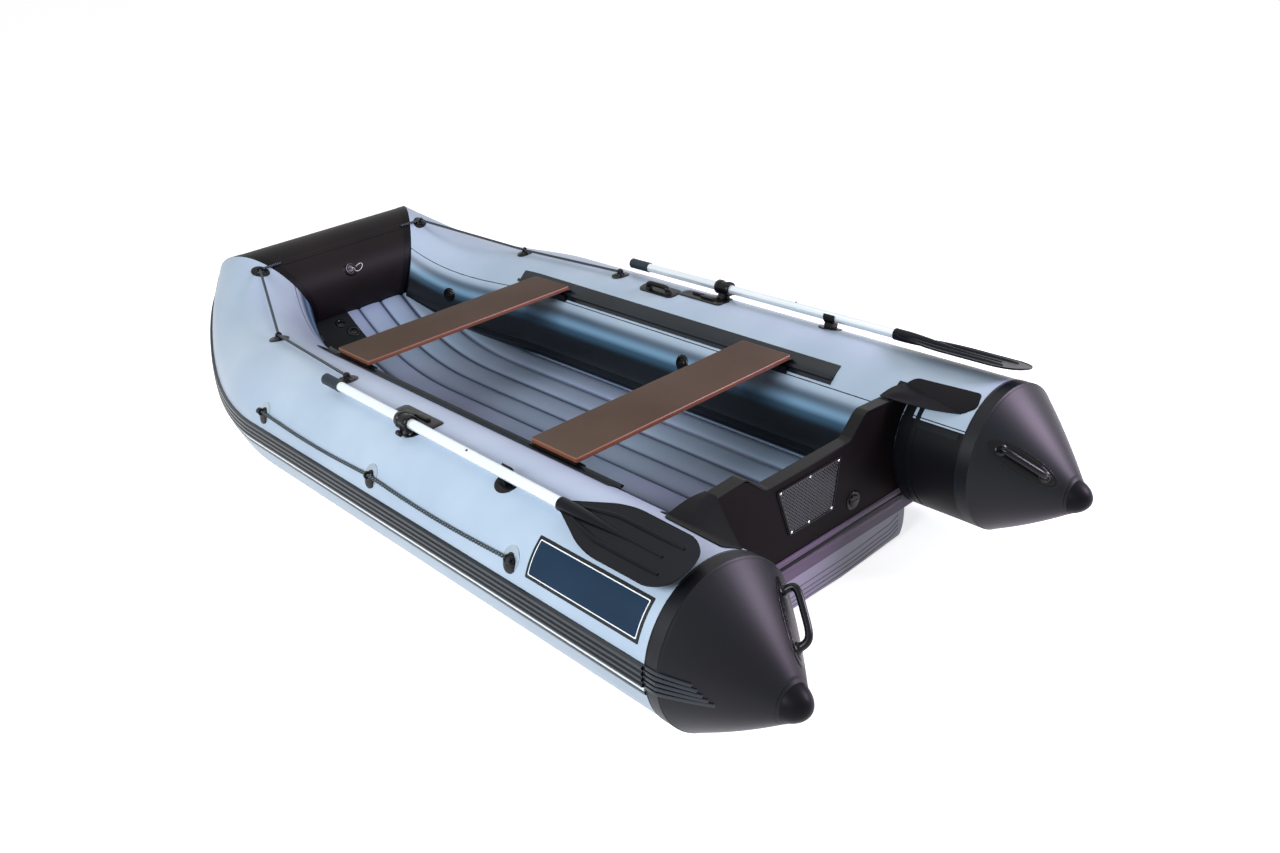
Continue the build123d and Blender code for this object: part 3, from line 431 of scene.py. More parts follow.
@dataclass(frozen=True)
class SideLine:
    """The port side tube from the tip of its cone to the mitred corner at the bow."""

    radius: float = 0.210
    offset: float = 0.560
    tube_aft: float = -0.200
    band: float = 0.040
    cone: float = 0.197
    cone_bulge: float = 0.006
    tip_radius: float = 0.047
    tip_drop: float = 0.054
    bend_start: float = 1.700
    bend_reach: float = 0.200
    bow_x: float = 2.473
    bow_half: float = 0.308
    corner_deg: float = 42.0
    corner_reach: float = 0.210
    bow_radius: float = 0.180
    bow_rise: float = 0.166
    rise_start: float = 1.759
    rise_power: float = 3.3
    taper_power: float = 1.5
    fine: int = 400

    def axis(self, t: float) -> Vector:
        """Return the tube's axis on the bend, t from 0 at the side to 1 at the corner.

        Args:
            t: place on the bend.

        Returns:
            The point on the axis.
        """
        turn = radians(self.corner_deg)
        back = Vector((cos(turn), -sin(turn))) * self.corner_reach
        corner = Vector((self.bow_x, self.bow_half))
        corners = [Vector((self.bend_start, self.offset)),
                   Vector((self.bend_start + self.bend_reach, self.offset)), corner - back, corner]
        weights = ((1 - t) ** 3, 3 * t * (1 - t) ** 2, 3 * t * t * (1 - t), t ** 3)
        plan = sum((c * w for c, w in zip(corners, weights)), Vector((0, 0)))
        run = max(0.0, (plan.x - self.rise_start) / (self.bow_x - self.rise_start))
        return Vector((plan.x, plan.y, self.bow_rise * run ** self.rise_power))

    def on_bend(self, t: float) -> Section:
        """Return the section at t on the bend.

        Args:
            t: place on the bend, from 0 to 1.

        Returns:
            The section.
        """
        step = 0.002
        along = (self.axis(min(1.0, t + step)) - self.axis(max(0.0, t - step))).normalized()
        outboard = Vector((-along.y, along.x, 0)).normalized()
        run = max(0.0, (self.axis(t).x - self.bend_start) / (self.bow_x - self.bend_start))
        radius = self.radius - (self.radius - self.bow_radius) * run ** self.taper_power
        return Section(self.axis(t), outboard, along.cross(outboard), radius)

    @cached_property
    def lengths(self) -> list[float]:
        """How far along the bend each of the fine steps lies, worked out once.

        Returns:
            The lengths, from 0 to the corner.
        """
        lengths = [0.0]
        for i in range(self.fine):
            step = self.axis((i + 1) / self.fine) - self.axis(i / self.fine)
            lengths.append(lengths[-1] + step.length)
        return lengths

    def section(self, run: float) -> Section:
        """Return the section at a distance along the axis, which is the station up to the bend.

        Args:
            run: the distance.

        Returns:
            The section, which is carried straight on past the corner.
        """
        outboard, up = TO_PORT, UPWARD
        if run > self.bend_start:
            lengths = self.lengths
            want = run - self.bend_start
            i = next((k for k, length in enumerate(lengths) if length >= want), None)
            if i is None:
                end = self.on_bend(1.0)
                beyond = end.origin + end.along * (want - lengths[-1])
                return Section(beyond, end.outboard, end.up, end.radius)
            return self.on_bend(max(0.0, i - (lengths[i] - want) / (lengths[i] - lengths[i - 1])) / self.fine)
        taper = (self.tube_aft - self.band - run) / self.cone
        if taper <= 0:
            return Section(Vector((run, self.offset, 0)), outboard, up, self.radius)
        radius = (self.radius + (self.tip_radius - self.radius) * taper
                  + 4 * self.cone_bulge * taper * (1 - taper))
        return Section(Vector((run, self.offset, -self.tip_drop * taper)), outboard, up, radius)

    @property
    def corner_run(self) -> float:
        """Distance along the axis to the mitred corner."""
        return self.bend_start + self.lengths[-1]

    @property
    def mitre(self) -> Vector:
        """Normal of the plane where the side tube meets the bow tube."""
        return (self.on_bend(1.0).along + Vector((0, -1, 0))).normalized()

    def bow(self, y: float) -> Section:
        """Return the section of the bow tube at an offset, rolled to meet the side tube.

        Args:
            y: the offset.

        Returns:
            The section.
        """
        outboard = self.on_bend(1.0).outboard
        turned = outboard - self.mitre * (2 * outboard.dot(self.mitre))
        up = Vector((0, -1, 0)).cross(turned)
        return Section(Vector((self.bow_x, y, self.bow_rise)), turned, up, self.bow_radius)

    def bow_plain(self, y: float) -> Section:
        """Return the section of the bow tube with its angle 0 ahead and 90 on top."""
        return Section(Vector((self.bow_x, y, self.bow_rise)), AHEAD, UPWARD,
                       self.bow_radius)


LINE = SideLine()


class Side(Enum):
    """The two sides of the boat."""

    PORT = 1
    STARBOARD = -1

    @property
    def prefix(self) -> str:
        """Start of the names of this side's pieces."""
        return self.name.lower() + "_"


# ---------------- shaping
def only(kind: type, geometry: Iterable) -> list:
    """Return the elements of one kind from an operator's result."""
    return [g for g in geometry if isinstance(g, kind)]


def sweep(bm: BMesh, edges: list, frames: Sequence[Matrix]) -> None:
    """Extrude a profile through a row of frames.

    Args:
        bm: the mesh that holds the profile.
        edges: the profile's edges, drawn in the plane of a unit frame.
        frames: the frames that the profile takes one after another.
    """
    verts = list({v for e in edges for v in e.verts})
    bmesh.ops.transform(bm, matrix=frames[0], verts=verts)
    for here, ahead in zip(frames, frames[1:]):
        made = bmesh.ops.extrude_edge_only(bm, edges=edges)["geom"]
        verts = only(BMVert, made)
        fresh = set(verts)
        edges = [e for e in only(BMEdge, made) if set(e.verts) <= fresh]
        bmesh.ops.transform(bm, matrix=ahead @ here.inverted(), verts=verts)


def soften(bm: BMesh, geometry: list, radius: float, segments: int, kind: str = "EDGES") -> None:
    """Round corners or edges off.

    Args:
        bm: the mesh that they are in.
        geometry: the vertices or edges.
        radius: how far from them the round starts.
        segments: faces round the turn.
        kind: EDGES, or VERTICES for corners in a plane.
    """
    bmesh.ops.bevel(bm, geom=geometry, offset=radius, offset_type="OFFSET", segments=segments,
                    profile=0.5, affect=kind, material=-1)


def circle(bm: BMesh, segments: int) -> list:
    """Add a unit circle and return its edges."""
    verts = bmesh.ops.create_circle(bm, cap_ends=False, segments=segments, radius=1.0)["verts"]
    return list({e for v in verts for e in v.link_edges})


def oblong(long: float, wide: float) -> list[tuple[float, float]]:
    """Return the corners of a rectangle centred on its frame."""
    x, y = long / 2, wide / 2
    return [(-x, -y), (x, -y), (x, y), (-x, y)]


def cap_holes(bm: BMesh) -> None:
    """Close every open rim with a fan of faces."""
    rims = [e for e in bm.edges if e.is_boundary]
    bmesh.ops.holes_fill(bm, edges=rims, sides=0)


def round_bar(bm: BMesh, path: Sequence[Vector], radius: float | Callable[[float], float],
              segments: int = 16) -> None:
    """Sweep a round bar along a path without twist and close its ends.

    Args:
        bm: the mesh that it goes into.
        path: points on its centre line.
        radius: its radius, or a function of the share of the path that gives it.
        segments: sides of its section.
    """
    edges = circle(bm, segments)
    frames: list[Matrix] = []
    side = UPWARD
    for k, point in enumerate(path):
        along = (path[min(k + 1, len(path) - 1)] - path[max(k - 1, 0)]).normalized()
        if abs(side.dot(along)) > 0.95:
            side = TO_PORT
        side = (side - along * side.dot(along)).normalized()
        r = radius(k / (len(path) - 1)) if callable(radius) else radius
        frames.append(matrix_of(point, side * r, along.cross(side) * r, along))
    before = set(bm.faces)
    sweep(bm, edges, frames)
    rims = [e for f in set(bm.faces) - before for e in f.edges if e.is_boundary]
    bmesh.ops.holes_fill(bm, edges=list(set(rims)), sides=0)


def turned(bm: BMesh, profile: Sequence[tuple[float, float]], sides: int, place: Matrix) -> None:
    """Spin a profile of (radius, height) about the local z axis.

    Args:
        bm: the mesh that it goes into.
        profile: the points of the profile.
        sides: faces round the turn.
        place: the frame that the turned shape is set on.
    """
    verts = [bm.verts.new((r, 0, h)) for r, h in profile]
    edges = [bm.edges.new(pair) for pair in zip(verts, verts[1:])]
    before = set(bm.verts) - set(verts)
    bmesh.ops.spin(bm, geom=verts + edges, cent=(0, 0, 0), axis=(0, 0, 1), angle=2 * pi, steps=sides,
                   use_merge=True)
    fresh = [v for v in bm.verts if v not in before]
    bmesh.ops.remove_doubles(bm, verts=fresh, dist=MERGE)
    fresh = [v for v in bm.verts if v not in before]
    bmesh.ops.transform(bm, matrix=place, verts=fresh)


def slab(bm: BMesh, outline: Sequence[tuple[float, float]], thick: float,
         corner: float = 0.0, edge: float = 0.0, at: float = 0.0) -> None:
    """Make a flat plate from an outline, with rounded corners and a softened upper edge.

    Args:
        bm: the mesh that it goes into.
        outline: corner points in the plane.
        thick: thickness, upward from the height at.
        corner: radius of its corners in the plane.
        edge: radius of its upper edge.
        at: height of its underside.
    """
    before = set(bm.verts)
    verts = [bm.verts.new((x, y, at)) for x, y in outline]
    face = bm.faces.new(verts)
    if corner:
        soften(bm, verts, corner, 6, "VERTICES")
        face = next(iter({f for v in bm.verts if v not in before for f in v.link_faces}))
    raise_face(bm, face, thick, edge)


def disc(long: float, wide: float, thick: float, edge: float) -> Callable[[BMesh], None]:
    """Return a maker of an oval plate.

    Args:
        long: its size along x.
        wide: its size along y.
        thick: its thickness.
        edge: radius of its upper edge.

    Returns:
        A function that makes the plate in a mesh of its own.
    """
    def make(bm: BMesh) -> None:
        """Make the plate.

        Args:
            bm: the mesh.
        """
        bmesh.ops.create_circle(bm, cap_ends=True, segments=40, radius=0.5)
        bmesh.ops.scale(bm, vec=(long, wide, 1), verts=bm.verts)
        raise_face(bm, next(iter(bm.faces)), thick, edge)
    return make


def raise_face(bm: BMesh, face: BMFace, thick: float, edge: float) -> None:
    """Give a flat face its thickness and soften the upper edge.

    Args:
        bm: the mesh.
        face: the flat face.
        thick: thickness to give it.
        edge: radius of the upper edge.
    """
    made = bmesh.ops.extrude_face_region(bm, geom=[face], use_keep_orig=True)["geom"]
    bmesh.ops.translate(bm, vec=(0, 0, thick), verts=only(BMVert, made))
    if edge:
        soften(bm, list({e for f in only(BMFace, made) for e in f.edges}), edge, 2)


def slices(bm: BMesh, axis: int, pitch: float) -> None:
    """Cut the mesh into strips across one axis, so that it can bend.

    Args:
        bm: the mesh.
        axis: 0, 1 or 2 for x, y or z.
        pitch: width of a strip, at the most about.
    """
    reach = [v.co[axis] for v in bm.verts]
    low, high = min(reach), max(reach)
    count = int((high - low) / pitch)
    normal = (AHEAD, TO_PORT, UPWARD)[axis]
    for k in range(1, count + 1):
        at = normal * (low + (high - low) * k / (count + 1))
        faces = [f for f in bm.faces if any(v.co[axis] < at[axis] for v in f.verts)
                 and any(v.co[axis] > at[axis] for v in f.verts)]
        edges = {e for f in faces for e in f.edges}
        cut = faces + list(edges) + list({v for e in edges for v in e.verts})
        bmesh.ops.bisect_plane(bm, geom=cut, plane_co=at, plane_no=normal, dist=1e-7)


def patch(bm: BMesh, run: float, deg: float, shape: Callable[[BMesh], None], lift: float = 0.0,
          pitch: float = 0.006, skin: Callable[[float], Section] = LINE.section) -> None:
    """Lay a flat shape on a tube: its x runs along the tube, its y round it and its z stands off it.

    Args:
        bm: the mesh that it goes into.
        run: distance along the tube of its middle.
        deg: angle round the tube of its middle.
        shape: makes the flat shape.
        lift: height of its underside off the skin.
        pitch: how finely it is cut to bend round the tube.
        skin: gives the tube's section at a distance along it.
    """
    flat = bmesh.new()
    shape(flat)
    slices(flat, 1, pitch)
    slices(flat, 0, max(pitch, 0.02))
    for v in flat.verts:
        here = skin(run + v.co.x)
        v.co = here.point(deg + degrees(v.co.y / here.radius), lift + v.co.z)
    join(bm, flat)


def join(bm: BMesh, other: BMesh, place: Matrix | None = None) -> None:
    """Add another mesh to this one, set on a frame, and free it.

    Args:
        bm: the mesh that is added to.
        other: the mesh that is added.
        place: the frame that it is set on.
    """
    if place:
        bmesh.ops.transform(other, matrix=place, verts=other.verts)
    carrier = bpy.data.meshes.new("carrier")
    other.to_mesh(carrier)
    bm.from_mesh(carrier)
    bpy.data.meshes.remove(carrier)
    other.free()


def tile(long: float, wide: float, thick: float, corner: float = 0.0,
          edge: float = 0.0) -> Callable[[BMesh], None]:
    """Return a maker of a rectangular plate centred on its frame."""
    return lambda bm: slab(bm, oblong(long, wide), thick, corner, edge)


# ---------------- finished pieces
@dataclass
class BoatFrame:
    """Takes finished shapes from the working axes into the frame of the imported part."""

    offset: Vector

    @classmethod
    def from_part(cls) -> BoatFrame:
        """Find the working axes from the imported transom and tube."""
        return cls(Vector((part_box("transom")[0].x, 0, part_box("port_tube")[0].z + LINE.radius)))

    def piece(self, bm: BMesh, name: str, finish: Finish | Sequence[Finish], slot: str,
              body: str = "boat", replaces: Sequence[str] = (), side: Side = Side.PORT,
              sharp: float = 35.0, outward: bool = True) -> Object:
        """Turn a mesh into a finished piece that rides on its body.

        Args:
            bm: the shape, in the working axes, on the port side.
            name: the piece's name.
            finish: its finish, or one for each material index.
            slot: the record's material slot; not used.
            body: the CAD body that it moves with.
            replaces: the CAD nodes that it stands for.
            side: the side of the boat that it is mirrored to.
            sharp: edges that turn further than this, in degrees, stay crisp.
            outward: whether the faces are turned outward first.

        Returns:
            The new object.
        """
        if side is Side.STARBOARD:
            bmesh.ops.scale(bm, vec=(1, -1, 1), verts=bm.verts)
            bmesh.ops.reverse_faces(bm, faces=bm.faces)
        bmesh.ops.translate(bm, vec=self.offset, verts=bm.verts)
        bmesh.ops.remove_doubles(bm, verts=bm.verts, dist=MERGE)
        bmesh.ops.dissolve_degenerate(bm, edges=bm.edges, dist=1e-7)
        if outward:
            bmesh.ops.recalc_face_normals(bm, faces=bm.faces)
        mesh = bpy.data.meshes.new(name)
        bm.to_mesh(mesh)
        bm.free()
        mesh.shade_smooth()
        mesh.set_sharp_from_angle(angle=radians(sharp))
        for one in (finish if isinstance(finish, (list, tuple)) else [finish]):
            mesh.materials.append(one.material())
        made = add_object(name, mesh)
        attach(made, body)
        if replaces:
            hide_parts(*replaces)
        log.info("%s: %d faces", name, len(mesh.polygons))
        return made


@dataclass
class Fitting:
    """A sub-assembly that is made once for each side of the boat."""

    frame: BoatFrame
    side: Side

    def piece(self, bm: BMesh, name: str, finish: Finish, slot: str, node: str = "",
              body: str = "boat", sharp: float = 35.0) -> Object:
        """Finish one piece of this side.

        Args:
            bm: the shape, as it is on the port side.
            name: its name, without its side.
            finish: the finish that it wears.
            slot: the record's material slot.
            node: the CAD node that it stands for, without its side.
            body: the CAD body that it moves with.
            sharp: edges that turn further than this, in degrees, stay crisp.

        Returns:
            The new object.
        """
        prefix = self.side.prefix
        replaces = [prefix + node] if node else ()
        return self.frame.piece(bm, prefix + name, finish, slot, body, replaces, self.side, sharp)


def add_object(name: str, data: object) -> Object:
    """Put a new object into the scene, made of the data.

    Args:
        name: name of the object.
        data: its mesh, light or camera.

    Returns:
        The object.
    """
    made = bpy.data.objects.new(name, data)
    bpy.context.scene.collection.objects.link(made)
    return made


def dress(frame: dict, node: str, finish: Finish) -> None:
    """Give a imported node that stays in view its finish.

    Args:
        node: name of the node.
        finish: the finish that it wears.
    """
    mesh = frame["nodes"][node].data
    if mesh.materials:
        for k in range(len(mesh.materials)):
            mesh.materials[k] = finish.material()
    else:
        mesh.materials.append(finish.material())


def loft(bm: BMesh, rings: Sequence[Sequence[Vector]]) -> None:
    """Extrude a ring of points from place to place.

    Args:
        bm: the mesh that it goes into.
        rings: rows of points, all of one length, each closed on itself.
    """
    order = bm.verts.layers.int.get("order") or bm.verts.layers.int.new("order")
    row = bm.verts.layers.int.get("row") or bm.verts.layers.int.new("row")
    first = [bm.verts.new(p) for p in rings[0]]
    for k, v in enumerate(first):
        v[order] = k
    edges = [bm.edges.new(pair) for pair in zip(first, first[1:] + first[:1])]
    for number, ring in enumerate(rings[1:], 1):
        made = bmesh.ops.extrude_edge_only(bm, edges=edges)["geom"]
        fresh = set(only(BMVert, made))
        edges = [e for e in only(BMEdge, made) if set(e.verts) <= fresh]
        for v in fresh:
            v.co = ring[v[order]]
            v[row] = number


def steps(start: float, stop: float, pitch: float) -> list[float]:
    """Return evenly spaced values from start to stop, no further apart than the pitch."""
    count = max(1, int(abs(stop - start) / pitch + 0.999))
    return [start + (stop - start) * k / count for k in range(count + 1)]


def ease(value: float, low: float, high: float) -> float:
    """Return a smooth step from 0 at low to 1 at high."""
    part = min(1.0, max(0.0, (value - low) / (high - low)))
    return part * part * (3 - 2 * part)


def everything(bm: BMesh) -> list:
    """Return all vertices, edges and faces."""
    return list(bm.verts) + list(bm.edges) + list(bm.faces)


# ---------------- tubes
@dataclass(frozen=True)
class Strip:
    """A strip glued along a side tube, from a start to a stop or else to the mitre."""

    name: str
    deg: tuple
    finish: Finish
    slot: str = "tube_fabric"
    thick: float = 0.0007
    start: float = LINE.tube_aft
    stop: float | None = None
    count: int = 12


STRIPS = (
    Strip("inner_seam", (137.5, 145.5), Look.TUBE),
    Strip("inner_seam_cord", (140.9, 141.7), Look.DARK_TAPE, thick=0.0011),
    Strip("low_seam", (199.0, 206.0), Look.DARK_TAPE, thick=0.001, start=0.034),
    Strip("outer_seam", (262.0, 272.0), Look.TUBE),
    Strip("stern_cover", (143.0, 232.0), Look.BLACK, "black_fabric", 0.0012, stop=-0.001),
    Strip("cover_tape", (144.0, 149.0), Look.DARK_TAPE, "black_fabric", 0.0028, LINE.tube_aft + 0.012, -0.05),
    *(Strip(f"board_tape_{name}", (118.0, 224.0), Look.DARK_TAPE, "wing_fabric", 0.0024, start, stop, 40)
      for name, start, stop in (("aft", -0.034, -0.004), ("fwd", 0.034, 0.060), ("outer", -0.058, -0.044))),
)


@dataclass
class Tubes:
    """The two side tubes and the bow tube, with their seams and tapes."""

    frame: BoatFrame
    segments: int = 128
    overrun: float = 0.17
    straight_pitch: float = 0.05
    bend_pitch: float = 0.016
    # Painted shade on the inner panel: it sets in from 138 degrees, is fully dark by 190, and fades out past
    # 212 under the floor.
    dusk_from: float = 138.0
    dusk_to: float = 190.0
    dusk_end: float = 212.0
    dusk_fade: float = 12.0
    bow_pitch: float = 0.03
    under: float = 0.0008
    mitre_wide: float = 0.028
    mitre_thick: float = 0.0008
    crease_deg: float = 127.0
    crease_wide: float = 0.022
    crease_thick: float = 0.0016
    crease_short: float = 0.045

    def runs(self) -> list[float]:
        """Return the distances of the rings of a side tube."""
        straight = steps(LINE.tube_aft, LINE.bend_start, self.straight_pitch)
        return straight + steps(LINE.bend_start, LINE.corner_run + self.overrun, self.bend_pitch)[1:]

    def dusk(self, deg: float) -> float:
        """Return how far the painted shade of the inner panel has come at an angle."""
        turned_dark = ease(deg, self.dusk_from, self.dusk_to)
        return turned_dark * (1 - ease(deg, self.dusk_end, self.dusk_end + self.dusk_fade))

    def ring(self, bm: BMesh) -> list:
        """Add a unit circle that carries the painted shading value, and return its edges.

        Args:
            bm: the mesh that it goes into.

        Returns:
            The circle's edges.
        """
        layer = bm.verts.layers.float.new("dusk")
        edges = circle(bm, self.segments)
        for v in bm.verts:
            v[layer] = self.dusk(degrees(atan2(v.co.y, v.co.x)) % 360)
        return edges

    def cut(self, bm: BMesh, beyond: bool, shift: float = 0.0) -> None:
        """Cut the mesh at the mitre.

        Args:
            bm: the mesh.
            beyond: whether the part beyond the mitre is dropped, or else the one before it.
            shift: how far past the mitre the cut lies.
        """
        corner = LINE.on_bend(1.0).origin + LINE.mitre * shift
        bmesh.ops.bisect_plane(bm, geom=everything(bm), plane_co=corner, plane_no=LINE.mitre,
                               clear_outer=beyond, clear_inner=not beyond)

    def side(self, side: Side) -> None:
        """Build one side tube.

        Args:
            side: the side of the boat.
        """
        bm = bmesh.new()
        sweep(bm, self.ring(bm), [LINE.section(run).frame() for run in self.runs()])
        self.cut(bm, beyond=True)
        cap_holes(bm)
        made = self.frame.piece(bm, side.prefix + "side_tube", Look.TUBE, "tube_fabric",
                                replaces=[side.prefix + "tube"], side=side)

    def bow_rows(self, grow: float = 0.0) -> list[Matrix]:
        """Return the frames of the port half of the bow tube."""
        offsets = steps(LINE.bow_half + self.overrun, 0.0, self.bow_pitch)
        return [LINE.bow(y).frame(grow) for y in offsets]

    def bow(self) -> None:
        """Build the bow tube."""
        bm = bmesh.new()
        sweep(bm, self.ring(bm), self.bow_rows())
        self.cut(bm, beyond=False)
        self.both_halves(bm)
        cap_holes(bm)
        made = self.frame.piece(bm, "bow_panel", Look.BOW, "black_fabric", replaces=["bow_tube"])

    def both_halves(self, bm: BMesh) -> None:
        """Mirror the port half of a bow piece to starboard."""
        bmesh.ops.mirror(bm, geom=everything(bm), matrix=Matrix.Identity(4), merge_dist=1e-5, axis="Y")

    def profile(self, bm: BMesh, low: float, high: float, thick: float,
                height: Callable[[float], float] | None = None, count: int = 12) -> list:
        """Draw the section of a strip glued to a unit circle.

        Args:
            bm: the mesh that it goes into.
            low: angle of its lower edge.
            high: angle of its upper edge.
            thick: thickness of the strip in metres on a side tube.
            height: extra height at a share of the width.
            count: points across it.

        Returns:
            The edges of the section.
        """
        # Each point of the strip carries the painted shading value of its angle.
        layer = bm.verts.layers.float.get("dusk") or bm.verts.layers.float.new("dusk")
        shares = [k / count for k in range(count + 1)]
        upper = [(thick + (height(share) if height else 0.0), share) for share in shares]
        lower = [(-self.under, 1 - share) for share in shares]
        verts = []
        for lift, share in upper + lower:
            r, deg = 1 + lift / LINE.radius, low + (high - low) * share
            verts.append(bm.verts.new((r * cos(radians(deg)), r * sin(radians(deg)), 0)))
            verts[-1][layer] = self.dusk(deg % 360)
        return [bm.edges.new(pair) for pair in zip(verts, verts[1:] + verts[:1])]

    def glue(self, side: Side, strip: Strip) -> None:
        """Glue a strip along a side tube.

        Args:
            side: the side of the boat.
            strip: what the strip is and where it lies.
        """
        bm = bmesh.new()
        edges = self.profile(bm, *strip.deg, strip.thick, count=strip.count)
        end = strip.stop if strip.stop is not None else LINE.corner_run + self.overrun
        runs = [strip.start, *(run for run in self.runs() if strip.start < run < end), end]
        sweep(bm, edges, [LINE.section(run).frame() for run in runs])
        if strip.stop is None:
            self.cut(bm, beyond=True)
        cap_holes(bm)
        self.frame.piece(bm, side.prefix + strip.name, strip.finish, strip.slot, side=side)

    def mitre_tape(self) -> None:
        """Build the two tapes that cover the mitred seams of the bow."""
        bm = bmesh.new()
        sweep(bm, self.ring(bm), self.bow_rows(0.0009))
        self.cut(bm, beyond=False, shift=0.001)
        self.cut(bm, beyond=True, shift=self.mitre_wide)
        bmesh.ops.solidify(bm, geom=everything(bm), thickness=self.mitre_thick)
        self.both_halves(bm)
        self.frame.piece(bm, "mitre_tapes", Look.BLACK, "black_fabric")

    def bow_crease(self) -> None:
        """Build the raised seam that runs across the inner face of the bow panel."""
        bm = bmesh.new()
        long = 2 * (LINE.bow_half - self.crease_short)
        shape = tile(long, self.crease_wide, self.crease_thick, edge=self.crease_thick / 2)
        patch(bm, 0.0, self.crease_deg, shape, skin=LINE.bow_plain)
        self.frame.piece(bm, "bow_seam", Look.BOW, "black_fabric")

    def build(self) -> None:
        """Build the tubes and everything glued along their seams."""
        for side in Side:
            self.side(side)
            for strip in STRIPS:
                self.glue(side, strip)
        self.bow()
        self.mitre_tape()
        self.bow_crease()


@dataclass
class SternCone(Fitting):
    """The tapered stern of a side tube, its cap, and the ribs that run out of the strake."""

    band_rise: float = 0.0015
    rib_thick: float = 0.0045
    rib_wide: float = 0.009
    rib_offsets: tuple = (0.004, 0.017, 0.030, 0.043, 0.055)
    rib_longest: float = 0.137
    rib_shortest: float = 0.100
    rib_deg: float = -3.0
    cap_long: float = 0.0455
    cap_flare: float = 30.0

    def cone(self) -> None:
        """Build the doubled band and the taper."""
        start, rise = LINE.tube_aft, self.band_rise
        end = start - LINE.band
        tip = end - LINE.cone
        rows = [(start + 0.0005, -0.001), (start, 0.0004), (start - 0.0006, rise), (start - 0.004, rise),
                (start - 0.0046, 0.0008), (start - 0.0056, 0.0008), (start - 0.0062, rise),
                (end + 0.0008, rise), (end, 0.0006), (end - 0.0012, -0.0004), (end - 0.0024, 0.0)]
        rows += [(run, 0.0) for run in steps(end - 0.006, tip + 0.012, 0.006)]
        rows += [(tip + 0.0085, 0.0), (tip + 0.0075, -0.0012), (tip + 0.006, -0.0012), (tip + 0.005, 0.0008),
                 (tip, 0.0008)]
        bm = bmesh.new()
        sweep(bm, circle(bm, 96), [LINE.section(run).frame(grow) for run, grow in rows])
        cap_holes(bm)
        made = self.piece(bm, "stern_cone", Look.CONE, "black_fabric", "cone")

    def cap(self) -> None:
        """Build the rounded thimble on the tip."""
        tip = LINE.section(LINE.tube_aft - LINE.band - LINE.cone)
        flare = radians(self.cap_flare)
        wide = LINE.tip_radius / cos(flare)
        long = self.cap_long / (1 - sin(flare))
        turns = [flare + (pi / 2 - flare) * k / 24 for k in range(24)]
        arc = [(wide * cos(a), long * (sin(a) - sin(flare))) for a in turns]
        bm = bmesh.new()
        turned(bm, [(0, 0), *arc, (0, self.cap_long)], 48, matrix_of(tip.origin, UPWARD, TO_PORT, -AHEAD))
        self.piece(bm, "cone_thimble", Look.BLACK, "cap_rubber", "cone_cap")

    def ribs(self) -> None:
        """Build the thin ribs where the rub strake runs out over the cone."""
        bm = bmesh.new()
        count = len(self.rib_offsets)
        for k, offset in enumerate(self.rib_offsets):
            long = self.rib_longest + (self.rib_shortest - self.rib_longest) * k / (count - 1)
            deg = self.rib_deg + degrees(offset / LINE.radius)
            patch(bm, LINE.tube_aft - long / 2, deg,
                  tile(long, self.rib_wide, self.rib_thick, corner=0.002, edge=0.0016), pitch=0.004)
        self.piece(bm, "cone_ribs", Look.STRAKE, "strake_rubber")

    def build(self) -> None:
        """Build the stern."""
        self.cone()
        self.cap()
        self.ribs()


@dataclass
class Strake:
    """The ribbed rub strake and the white stripe under it, right round the boat."""

    tubes: Tubes
    low: float = -3.0
    high: float = 13.0
    stripe_low: float = -9.0
    stripe_split: float = -6.0
    thick: float = 0.0055
    rib: float = 0.0042
    ribs: int = 4

    def ribbed(self, share: float) -> float:
        """Return the extra height of the ribs at a share of the width.

        Args:
            share: share of the width, from the lower edge.

        Returns:
            The height.
        """
        edge = ease(share, 0.0, 0.04) * (1 - ease(share, 0.96, 1.0))
        wave = 0.5 - 0.5 * cos(2 * pi * self.ribs * share)
        return self.rib * ease(wave, 0.25, 0.8) - (1 - edge) * self.thick * 0.8

    def soft(self, share: float) -> float:
        """Return how far a plain band falls away towards its edges."""
        return -0.004 * (1 - ease(share, 0.0, 0.15) * (1 - ease(share, 0.85, 1.0)))

    def band(self, name: str, low: float, high: float, thick: float, finish: Finish, slot: str,
             node: str | None, height: Callable[[float], float] | None, count: int) -> None:
        """Run a strip right round the boat.

        Args:
            name: name of the piece.
            low: angle of its lower edge.
            high: angle of its upper edge.
            thick: its thickness.
            finish: the finish that it wears.
            slot: the record's material slot.
            node: the CAD node that it stands for, if any.
            height: extra height at a share of the width.
            count: points across it.
        """
        tubes = self.tubes
        whole = bmesh.new()
        along_side = [LINE.section(run).frame() for run in tubes.runs()]
        for rows, is_side in ((along_side, True), (tubes.bow_rows(), False)):
            bm = bmesh.new()
            sweep(bm, tubes.profile(bm, low, high, thick, height, count), rows)
            tubes.cut(bm, beyond=is_side)
            join(whole, bm)
        bmesh.ops.remove_doubles(whole, verts=whole.verts, dist=0.0004)
        tubes.both_halves(whole)
        cap_holes(whole)
        tubes.frame.piece(whole, name, finish, slot, replaces=[node] if node else ())

    def build(self) -> None:
        """Build the strake and its stripe."""
        self.band("ribbed_strake", self.low, self.high, self.thick, Look.STRAKE, "strake_rubber",
                  "rub_strake", self.ribbed, 48)
        self.band("white_stripe", self.stripe_split, self.low - 0.3, self.thick * 0.8, Look.STRIPE,
                  "stripe_rubber", "strake_stripe", self.soft, 12)
        self.band("strake_foot", self.stripe_low, self.stripe_split - 0.1, self.thick * 0.8, Look.STRAKE,
                  "strake_rubber", None, self.soft, 12)


